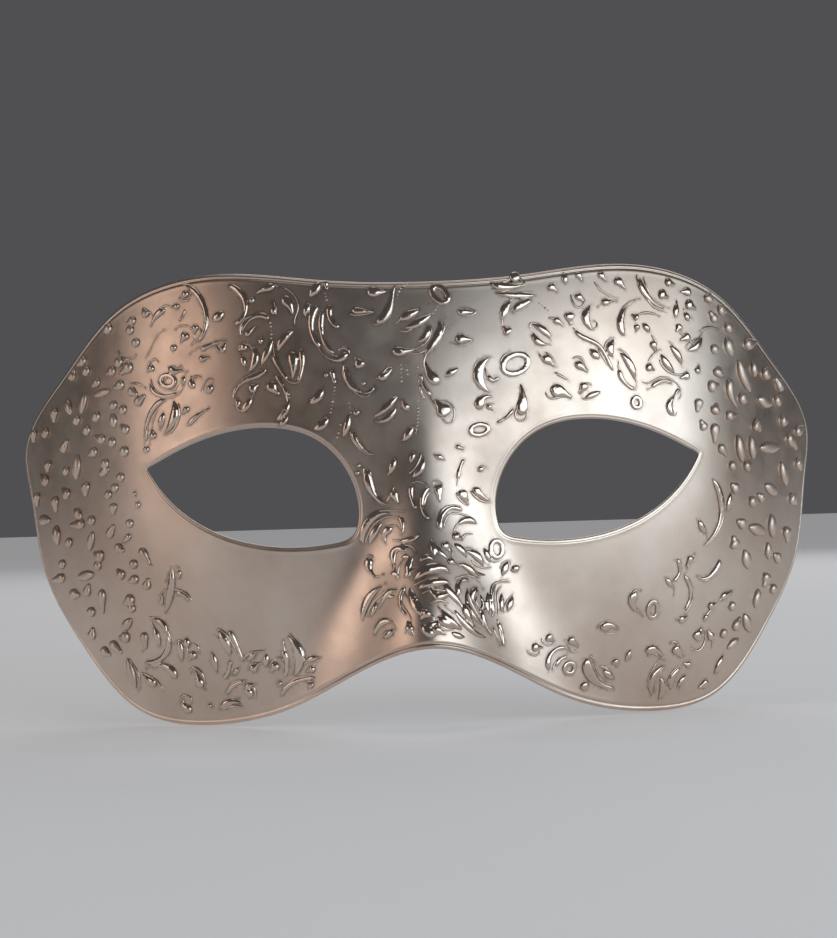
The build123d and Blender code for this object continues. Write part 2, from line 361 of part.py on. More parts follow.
        ("drop", 2.0, (63, 37.4), (63.4, 39.2)), ("drop", 1.8, (65.6, 35.8), (67.4, 35.4)),
        ("drop", 1.6, (64.6, 33.2), (63.4, 35)), ("bead", 1.5, (63.9, 26.9)),
        ("leaf", 2.1, (67.2, 29.4), (68.2, 25.8)), ("drop", 2.0, (72.2, 28.2), (75, 29)),
        ("bead", 1.7, (67.8, 31.8)), ("drop", 2.3, (64.4, 21.2), (64.8, 22.8)),
        ("drop", 2.0, (62.2, 18.7), (64.4, 19)), ("leaf", 2.2, (70, 24.6), (71, 21.4), (72.6, 18)),
        ("drop", 1.7, (67.6, 20.2), (67.4, 17.6), (68.8, 14.6)), ("bead", 2.0, (70.6, 16.2)),
        ("bead", 2.2, (77.4, 22)), ("leaf", 1.5, (74, 24.6), (74.2, 21.4)),
        ("drop", 2.0, (81.8, 18.8), (80.2, 21)), ("leaf", 2.1, (75, 16.2), (78.4, 15.2)),
        ("drop", 2.0, (80, 15.6), (81.4, 17)), ("drop", 1.6, (59.6, 15.7), (59, 13.4)),
        ("drop", 2.0, (63.2, 13), (63.8, 14.8)), ("drop", 1.9, (63.2, 10.4), (63, 6.6)),
        ("drop", 1.6, (66.4, 12.4), (68.6, 12.6)), ("drop", 2.6, (73.6, 11), (74.8, 9.4)),
        ("drop", 2.0, (81.4, 11.6), (83, 11.4)), ("leaf", 2.0, (69, 8), (69.8, 2.6)),
        ("leaf", 1.8, (72.4, 7.8), (72.8, 3.2)), ("leaf", 1.9, (75, 5.4), (80.2, 5.6)),
        ("drop", 2.2, (83.2, 8), (85.6, 5.4)), ("drop", 1.8, (86, 9), (88.2, 10.4)),
        ("drop", 1.4, (64.2, 5.8), (65.8, 3.8)), ("bead", 1.5, (67.2, 1.5)),
        ("drop", 1.7, (70.6, 1), (72, 2.2)), ("leaf", 2.1, (80.8, 2), (82, -2.8)),
        ("drop", 2.0, (85.8, 2.6), (86.8, 0.6)), ("drop", 1.8, (68.1, -3.7), (66.9, -2.6)),
        ("leaf", 2.0, (76, -3), (79, -4.6)), ("bead", 1.7, (72.2, -6.4)),
        ("drop", 1.5, (75, -5.8), (73.8, -5)), ("drop", 2.2, (83.4, -5.6), (84.8, -7)),
        ("drop", 1.8, (69.8, -11.4), (68.2, -10.6)), ("leaf", 2.0, (71.4, -12), (75.4, -13.2)),
        ("leaf", 2.2, (77.4, -9.6), (77.6, -14.2)), ("drop", 2.2, (81.8, -12.6), (82, -15.6)),
        ("drop", 2.2, (67.4, -16.2), (67, -14)), ("leaf", 2.1, (69.8, -17.2), (70.8, -20.8)),
        ("drop", 1.8, (79.4, -19.4), (78, -18.4)), ("leaf", 1.5, (76.2, -15.8), (76.4, -19)),
        ("drop", 2.2, (76, -22.8), (75, -25)), ("leaf", 1.8, (73.4, -26), (72.6, -29.6)),
        ("bead", 1.6, (77.6, -26)), ("leaf", 1.8, (69.6, -31.2), (71, -34.8)),
        ("drop", 1.7, (67, -34), (68.4, -31.8)), ("bead", 1.4, (64.2, -34.8)),
        ("bead", 1.4, (66.4, -29)), ("drop", 1.4, (60.6, 9.6), (59.8, 11.2)),
        ("leaf", 1.4, (65.4, -38), (67.8, -36.4)),
    ],
}

# How full each kind of stroke is along its length, from its thick end
FULLNESS = {
    "drop": [(0, 0.15), (0.04, 0.5), (0.13, 0.86), (0.3, 1.0), (0.55, 0.7), (0.8, 0.38), (1, 0.1)],
    "leaf": [(0, 0.1), (0.15, 0.55), (0.5, 1.0), (0.85, 0.55), (1, 0.1)],
    "reed": [(0, 0.3), (0.06, 0.75), (0.2, 1.0), (0.5, 0.8), (0.8, 0.72), (0.95, 0.6), (1, 0.2)],
}


# ---------------------------------------------------------------- form of the face


def form(x, z):
    """Depth of the bare face form: the wrap to the temples, the brow's slope and the nose."""
    reach = x / half_width
    wrap = temple_depth * ((1 - temple_squareness) * reach**2 + temple_squareness * reach**4)
    slope = brow_slope * (z / brow_lobe_height) ** 2
    spread = bridge_spread + nose_flare * nose_ramp * math.log1p(math.exp((-eye_low_depth - z) / nose_ramp))
    rise = nose_rise / (1 + math.exp((z + nose_mid_depth) / nose_ramp))
    return wrap + slope - rise * math.exp(-((x / spread) ** 2))


def front(x, z):
    """The painted surface's y at (x, z)."""
    return form(x, z) - form(0, 0) - (wall + soft_gap + felt)


def slopes(x, z):
    """How fast the painted surface falls back along x and along z."""
    along_x = (front(x + slope_step, z) - front(x - slope_step, z)) / (2 * slope_step)
    along_z = (front(x, z + slope_step) - front(x, z - slope_step)) / (2 * slope_step)
    return along_x, along_z


def behind(x, z, depth):
    """y of the surface that lies this deep behind the painted one, measured square to it."""
    along_x, along_z = slopes(x, z)
    return front(x, z) + depth * math.sqrt(1 + along_x**2 + along_z**2)


def outward(x, z):
    """The painted surface's own direction, out of the mask."""
    along_x, along_z = slopes(x, z)
    return Vector(along_x, -1, along_z).normalized()


def stations(low, high):
    """Evenly spaced places from low to high, no further apart than the station step."""
    count = math.ceil((high - low) / station_step)
    return [low + (high - low) * k / count for k in range(count + 1)]


def layer(near, far, left=-half_width, right=half_width, low=-cheek_lobe_depth, high=brow_lobe_height):
    """The face form between two depths, as a plain block that is still to be trimmed."""
    across = stations(left - margin, right + margin)
    with BuildPart() as block:
        for z in stations(low - margin, high + margin):
            with BuildSketch(Plane.XY.offset(z)):
                with BuildLine():
                    fore = Spline(*[(x, behind(x, z, near)) for x in across])
                    rear = Spline(*[(x, behind(x, z, far)) for x in across])
                    Line(fore @ 0, rear @ 0)
                    Line(fore @ 1, rear @ 1)
                make_face()
        loft()
    return block.part


# ---------------------------------------------------------------- outlines in front view

clear_of_front = nose_rise + 2 * margin
through = clear_of_front + temple_depth + 4 * margin
front_plane = Plane.XZ.offset(clear_of_front)


def grown(points, amount):
    """A closed run of points, each moved out by this amount square to the line of its neighbours."""
    moved = []
    for k, (x, z) in enumerate(points):
        (x0, z0), (x1, z1) = points[k - 1], points[(k + 1) % len(points)]
        length = math.hypot(x1 - x0, z1 - z0)
        moved.append((x - amount * (z1 - z0) / length, z + amount * (x1 - x0) / length))
    return moved


def mask_face(grow=0.0):
    """The mask's front view: two brow lobes, temples, cheek lobes and the nose notch."""
    right_half = [
        (0, brow_dip_height),
        (0.45 * brow_lobe_reach, 0.7 * brow_dip_height + 0.3 * brow_lobe_height),
        (brow_lobe_reach, brow_lobe_height),
        (0.73 * half_width, 0.87 * brow_lobe_height),
        (0.88 * half_width, 0.57 * brow_lobe_height),
        (half_width, temple_height),
        (0.985 * half_width, temple_height - 0.19 * cheek_lobe_depth),
        (0.95 * half_width, -0.34 * cheek_lobe_depth),
        (0.84 * half_width, -0.68 * cheek_lobe_depth),
        (0.68 * half_width, -0.96 * cheek_lobe_depth),
        (cheek_lobe_reach, -cheek_lobe_depth),
        (0.6 * cheek_lobe_reach, -0.92 * cheek_lobe_depth),
        (0.31 * cheek_lobe_reach, -0.7 * notch_depth - 0.3 * cheek_lobe_depth),
        (0, -notch_depth),
    ]
    left_half = [(-x, z) for x, z in right_half[-2:0:-1]]
    with BuildSketch(front_plane) as view:
        with BuildLine():
            Spline(*grown(right_half + left_half, grow), periodic=True)
        make_face()
    return view.sketch


def eye_face(side, grow=0.0):
    """An eye opening, pointed at its outer corner and tightly rounded at its inner low one."""
    span = eye_outer_reach - eye_inner_reach
    right_eye = [
        (eye_outer_reach, eye_corner_height),
        (eye_inner_reach + 0.66 * span, -0.75 * eye_low_depth),
        (eye_inner_reach + 0.37 * span, -eye_low_depth),
        (eye_inner_reach + 0.07 * span, -0.94 * eye_low_depth),
        (eye_inner_reach + 0.01 * span, -0.78 * eye_low_depth),
        (eye_inner_reach, -0.2 * eye_low_depth),
        (eye_inner_reach + 0.19 * span, 0.78 * eye_top_height),
        (eye_inner_reach + 0.42 * span, eye_top_height),
        (eye_inner_reach + 0.69 * span, 0.87 * eye_top_height),
    ]
    points = [(side * x, z) for x, z in grown(right_eye, grow)]
    with BuildSketch(front_plane) as view:
        with BuildLine():
            lower = Spline(*points[:4])
            upper = Spline(*points[4:], points[0])
            TangentArc(lower @ 1, upper @ 0, tangent=lower % 1)
        make_face()
    return view.sketch


# ---------------------------------------------------------------- shell

with BuildPart() as mask_shell:
    add(layer(0, wall))
    extrude(mask_face(), amount=-through, mode=Mode.INTERSECT)
    for side in (-1, 1):
        extrude(eye_face(side), amount=-through, mode=Mode.SUBTRACT)

# ---------------------------------------------------------------- soft pieces inside

felt_near = wall + soft_gap
foam_near = felt_near + felt + soft_gap

with BuildPart() as lining:
    add(layer(felt_near, felt_near + felt))
    extrude(mask_face(-felt_inset), amount=-through, mode=Mode.INTERSECT)
    for side in (-1, 1):
        extrude(eye_face(side, felt_inset), amount=-through, mode=Mode.SUBTRACT)
        with BuildSketch(front_plane):
            with Locations((side * lug_reach, lug_height)):
                Circle(lug_foot_radius + felt_inset)
        extrude(amount=-through, mode=Mode.SUBTRACT)


def pad(x, z, length, width, lean):
    """A foam pad with round ends, centred at (x, z) and leaning this many degrees from level."""
    reach = length / 2
    with BuildPart() as cushion:
        add(layer(foam_near, foam_near + foam, x - reach, x + reach, z - reach, z + reach))
        with BuildSketch(front_plane):
            with Locations((x, z)):
                SlotOverall(length, width, rotation=lean)
        extrude(amount=-through, mode=Mode.INTERSECT)
    return cushion.part


# ---------------------------------------------------------------- tie lugs


def tie_lug(side):
    """A bonded foot with an upright-bored ring on it, for the end of one tie."""
    x = side * lug_reach
    seat = wall + glue_line
    inward = -outward(x, lug_height)
    root = Vector(x, behind(x, lug_height, seat), lug_height)
    ring_outer = tie_hole_radius + lug_ring_wall
    centre = root + inward * (lug_foot_thickness + lug_neck + ring_outer)
    across = Plane(origin=centre, x_dir=Vector(inward.X, inward.Y, 0), z_dir=(0, 0, 1))
    with BuildPart() as lug:
        foot = lug_foot_radius
        add(layer(seat, seat + lug_foot_thickness, x - foot, x + foot, lug_height - foot, lug_height + foot))
        with BuildSketch(front_plane):
            with Locations((x, lug_height)):
                Ellipse(foot * abs(inward.Y), foot)
        extrude(amount=-through, mode=Mode.INTERSECT)
        with BuildSketch(across):
            Circle(ring_outer)
            with Locations((-(ring_outer + lug_neck) / 2, 0)):
                Rectangle(ring_outer + lug_neck + lug_foot_thickness, ring_outer)
        extrude(amount=lug_thickness / 2, both=True)
        with BuildSketch(across):
            Circle(tie_hole_radius)
        extrude(amount=lug_thickness, both=True, mode=Mode.SUBTRACT)
    return lug.part


# ---------------------------------------------------------------- relief


def drawn(point):
    """A point of the relief, moved to its place on a mask of this size."""
    x, z = point
    return x * half_width / drawn_half_width, z * (brow_lobe_height + cheek_lobe_depth) / drawn_height


def on_shell(x, z):
    """The point that lies a glue line off the painted surface at (x, z)."""
    return Vector(x, front(x, z), z) + outward(x, z) * glue_line


def stroke(kind, width, *points):
    """One piped stroke, flat underneath, whose thickness swells and tapers along its path."""
    course = Spline(*points, mode=Mode.PRIVATE) if len(points) > 2 else Line(*points, mode=Mode.PRIVATE)
    with BuildPart() as paste:
        for share, fullness in FULLNESS[kind]:
            here, ahead = course @ share, course @ share + course % share * slope_step
            place = on_shell(here.X, here.Y)
            heading = on_shell(ahead.X, ahead.Y) - place
            sideways = outward(here.X, here.Y).cross(heading)
            with BuildSketch(Plane(origin=place, x_dir=sideways, z_dir=heading)):
                with BuildLine():
                    half = fullness * width / 2
                    arch = EllipticalCenterArc((0, 0), half, bead_fullness * half, arc_size=180)
                    Line(arch @ 0, arch @ 1)
                make_face()
        loft()
    return paste.part


def bead(width, point):
    """One round drop of paste."""
    seat = Plane(origin=on_shell(*point), z_dir=outward(*point))
    with BuildPart() as paste:
        with Locations(seat):
            Sphere(width / 2, arc_size1=0, align=(Align.CENTER, Align.CENTER, Align.MIN))
    return paste.part


def ring(width, point, half_length, half_breadth, tilt):
    """One oval loop of paste."""
    seat = Plane(origin=on_shell(*point), x_dir=(1, slopes(*point)[0], 0), z_dir=outward(*point))
    with BuildPart() as paste:
        with BuildSketch(seat):
            Ellipse(half_length + width / 2, half_breadth + width / 2, rotation=tilt)
            Ellipse(half_length - width / 2, half_breadth - width / 2, rotation=tilt, mode=Mode.SUBTRACT)
        extrude(amount=bead_fullness * width / 2)
        crest = paste.faces().sort_by(Axis(seat.origin, seat.z_dir))[-1]
        chamfer(crest.edges(), width / 5)
    return paste.part


def relief(node, strokes):
    """One region of relief: every stroke is a solid of its own."""
    pieces = []
    for kind, width, first, *rest in strokes:
        if kind == "bead":
            pieces.append(bead(width, drawn(first)))
        elif kind == "ring":
            pieces.append(ring(width, drawn(first), *rest))
        else:
            pieces.append(stroke(kind, width, *[drawn(point) for point in (first, *rest)]))
    return Compound(label=node, children=pieces)


# ---------------------------------------------------------------- the whole mask

mask = {
    "mask_shell": mask_shell.part,
    "lining": lining.part,
    "brow_pad": pad(0, brow_pad_height, brow_pad_length, brow_pad_width, 0),
}
for name, side in (("left", -1), ("right", 1)):
    mask[f"nose_pad_{name}"] = pad(
        side * nose_pad_reach, -nose_pad_depth, nose_pad_length, nose_pad_width, -side * nose_pad_lean
    )
    mask[f"cheek_pad_{name}"] = pad(
        side * cheek_pad_reach, -cheek_pad_depth, cheek_pad_length, cheek_pad_width, side * cheek_pad_lean
    )
    mask[f"tie_lug_{name}"] = tie_lug(side)
for node, strokes in RELIEF.items():
    mask[node] = relief(node, strokes)

os.makedirs("parts", exist_ok=True)
for node, piece in mask.items():
    piece.label = node
    export_step(piece, f"parts/{node}.step")
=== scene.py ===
"""Dresses the half-face masquerade mask: painted shell, piped relief, felt lining, pads and lugs."""

import math

import bmesh
import bpy
import numpy as np
from mathutils import Matrix, Vector
from mathutils.geometry import delaunay_2d_cdt
from mathutils.kdtree import KDTree


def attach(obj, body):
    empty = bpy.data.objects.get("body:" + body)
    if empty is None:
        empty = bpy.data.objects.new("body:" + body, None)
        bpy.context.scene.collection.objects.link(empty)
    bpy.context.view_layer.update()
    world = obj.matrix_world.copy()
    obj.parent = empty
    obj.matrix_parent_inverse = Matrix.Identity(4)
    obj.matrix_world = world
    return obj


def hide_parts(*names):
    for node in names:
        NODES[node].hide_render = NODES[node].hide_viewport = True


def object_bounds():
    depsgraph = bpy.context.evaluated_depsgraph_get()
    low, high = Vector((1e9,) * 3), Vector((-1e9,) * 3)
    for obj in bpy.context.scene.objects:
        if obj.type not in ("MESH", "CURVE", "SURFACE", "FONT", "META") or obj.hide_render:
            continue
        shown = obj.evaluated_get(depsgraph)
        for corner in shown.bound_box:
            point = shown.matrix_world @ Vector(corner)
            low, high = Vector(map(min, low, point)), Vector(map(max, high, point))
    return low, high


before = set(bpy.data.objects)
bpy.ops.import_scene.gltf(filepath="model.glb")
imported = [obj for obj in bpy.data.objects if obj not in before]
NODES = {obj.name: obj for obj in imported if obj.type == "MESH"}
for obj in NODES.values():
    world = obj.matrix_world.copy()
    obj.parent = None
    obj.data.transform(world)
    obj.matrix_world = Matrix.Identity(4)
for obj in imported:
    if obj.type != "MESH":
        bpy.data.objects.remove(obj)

bl_info = {
    "name": "Masquerade mask",
    "version": (1, 0, 0),
    "blender": (4, 5, 0),
    "location": "View3D > Sidebar > Mask",
    "description": "Builds a half-face masquerade mask with raised relief, and the stage it is shown on",
    "category": "Object",
}

CAD_LOW, CAD_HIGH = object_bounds()
MM = 0.001
RELIEF_NODES = sorted(name for name in NODES if "relief" in name)
LUG_NODES = sorted(name for name in NODES if "lug" in name)

# The form and its outlines are in millimetres, as the model's own dimensions are.
HALF_WIDTH = 90.0
BROW_LOBE = 45.0
CHEEK_LOBE = 50.5
EYE_LOW = 12.9
TEMPLE_DEPTH = 52.0  # how far the corner of a temple lies behind the brow
TEMPLE_SQUARENESS = 0.45  # share of that depth which comes on late, near the temple
BROW_SLOPE = 5.0  # how far the upper and lower edges fall back
NOSE_RISE = 18.0
NOSE_MID = 18.0  # how far down the nose has risen to half of that
NOSE_RAMP = 9.0
BRIDGE_SPREAD = 7.0  # half breadth of the nose ridge at the eyes
NOSE_FLARE = 0.4  # how fast its flanks widen below them
WALL = 2.0
SOFT_GAP = 0.3  # between a soft piece and what it lies on
FELT = 0.8
FELT_INSET = 2.5  # from the shell's edges to the felt's
# The outline's right half, from the brow to the notch, and the right eye's, from its outer corner.
OUTLINE = [
    (0, 41.5), (20.7, 42.55), (46, 45), (65.7, 39.15), (79.2, 25.65), (90, 9.5), (88.65, -0.1),
    (85.5, -17.2), (75.6, -34.3), (61.2, -48.5), (48, -50.5), (28.8, -46.5), (14.9, -38.95), (0, -34),
]
EYE = [
    (59, 4.3), (43.9, -9.7), (31, -12.9), (17.6, -12.1), (14.9, -10.1), (14.5, -2.6), (23, 9.4),
    (33.2, 12), (45.2, 10.4),
]
# Each pad's middle, length, width and lean in degrees.
PADS = {
    "brow_pad": (0, 27, 76, 11, 0),
    "nose_pad_left": (-14, -20, 19, 7.5, 62),
    "nose_pad_right": (14, -20, 19, 7.5, -62),
    "cheek_pad_left": (-47, -34, 30, 10, -14),
    "cheek_pad_right": (47, -34, 30, 10, 14),
}
LUG_PLACE = (80.0, 2.0)
LUG_CLEARANCE = 8.5  # radius of the felt's opening round a lug

# How an edge is followed
EDGE_REACH = 1.9  # nearer than this, an upright edge's wall begins to run straight back
EDGE_TURN = 0.9  # the distance over which it comes to do so
HEADING_ROUNDS = 6  # how often the directions into the piece are averaged along the edge
ARC_STEPS = 14  # round the inner corner of an eye

# How a sheet is meshed
CLEAR_SHARE = 0.6  # of the grid's spacing, kept free along a rim
BACK_GRID = 2.2  # how much coarser the back's grid is
FELT_GRID = 1.8
FELT_STEP = 1.0  # along the felt's edges
FELT_WAVE = 0.05
LUG_HOLE_STEPS = 40
PAD_GRID = 0.9
PAD_STEP = 0.5  # along a pad's edge
PAD_END_STEPS = 24  # round each end of a pad
PAD_CROWN = 0.55
PAD_FACE = -6.4  # what lies further back than this is the face of a pad, and crowned

# The low smears and the fine lines
SMEAR_SIDES = 12
SMEAR_RISE = 0.75  # height as a share of half the width
SMEAR_SKEW = 0.75  # below 1 the widest place is nearer to the start
SMEAR_ENDS = (0.04, 0.96)  # where on the taper a smear starts and ends
SMEAR_FINENESS = 5  # steps from one point of a path to the next
LINE_FINENESS = 8
LINE_SIDES = 10
# Share of the full thickness at each share of a fine line's length
LINE_TAPER = [(0, 0.22), (0.08, 0.72), (0.35, 1.0), (0.7, 0.82), (0.93, 0.45), (1, 0.12)]
LINE_FOOT_SHADE = 0.07  # height of the painted shade round the foot of a fine line or a dot
THINNEST_LINE = 0.72  # as a share of the usual radius
LINE_VARIETY = 0.5  # what a line may have above that share
VARIETY_STEP = 0.618  # from one line's share of that variety to the next
DOT_SIZES = (0.45, 1.5)  # as shares of the usual radius

# The view from nearly straight ahead: its turn, tilt and roll in degrees, and the place it is aimed at
VIEW_TURN, VIEW_TILT, VIEW_ROLL = -1.58, -1.07, -1.68
VIEW_AIM = (-1.72, -5.0, 2.27)
LENS, SENSOR = 94.83, 36.0

# Cross-sections of the edges, from the front to the back: distance from the edge, height off the paint.
RIM = [
    (3.4, 0.0), (2.9, 0.0), (2.4, 0.0), (2.0, 0.01), (1.75, 0.02), (1.55, 0.01), (1.38, -0.05),
    (1.24, -0.14), (1.12, -0.19), (1.0, -0.17), (0.88, -0.09), (0.76, -0.04), (0.63, -0.03), (0.5, -0.07),
    (0.38, -0.15), (0.26, -0.27), (0.16, -0.42), (0.08, -0.6), (0.02, -0.85), (0.0, -1.3), (0.0, -2.1),
    (0.0, -2.8), (0.08, -3.15), (0.3, -3.4), (0.6, -3.45), (0.88, -3.2), (1.0, -2.8), (1.05, -2.3),
    (1.3, -2.05), (1.9, -2.0), (3.4, -2.0),
]
EYE_LIP = [
    (2.6, 0.0), (2.1, 0.0), (1.7, 0.0), (1.4, 0.01), (1.15, 0.03), (0.92, 0.04), (0.76, 0.0), (0.66, -0.05),
    (0.58, -0.08), (0.48, -0.09), (0.34, -0.11), (0.18, -0.15), (0.06, -0.32), (0.0, -0.6), (0.0, -1.6),
    (0.1, -1.88), (0.35, -2.0), (1.2, -2.0), (2.6, -2.0),
]
FELT_EDGE = [
    (1.4, -2.3), (0.7, -2.3), (0.3, -2.32), (0.1, -2.4), (0.0, -2.56), (0.0, -2.84), (0.1, -3.0),
    (0.3, -3.08), (0.7, -3.1), (1.4, -3.1),
]
PAD_EDGE = [
    (2.2, -3.4), (1.2, -3.4), (0.6, -3.43), (0.25, -3.58), (0.06, -3.9), (0.0, -4.3), (0.02, -4.7),
    (0.1, -4.86), (0.24, -4.95), (0.1, -5.04), (0.02, -5.2), (0.05, -5.6), (0.2, -6.05), (0.5, -6.5),
    (0.95, -6.85), (1.5, -7.05), (2.2, -7.15),
]

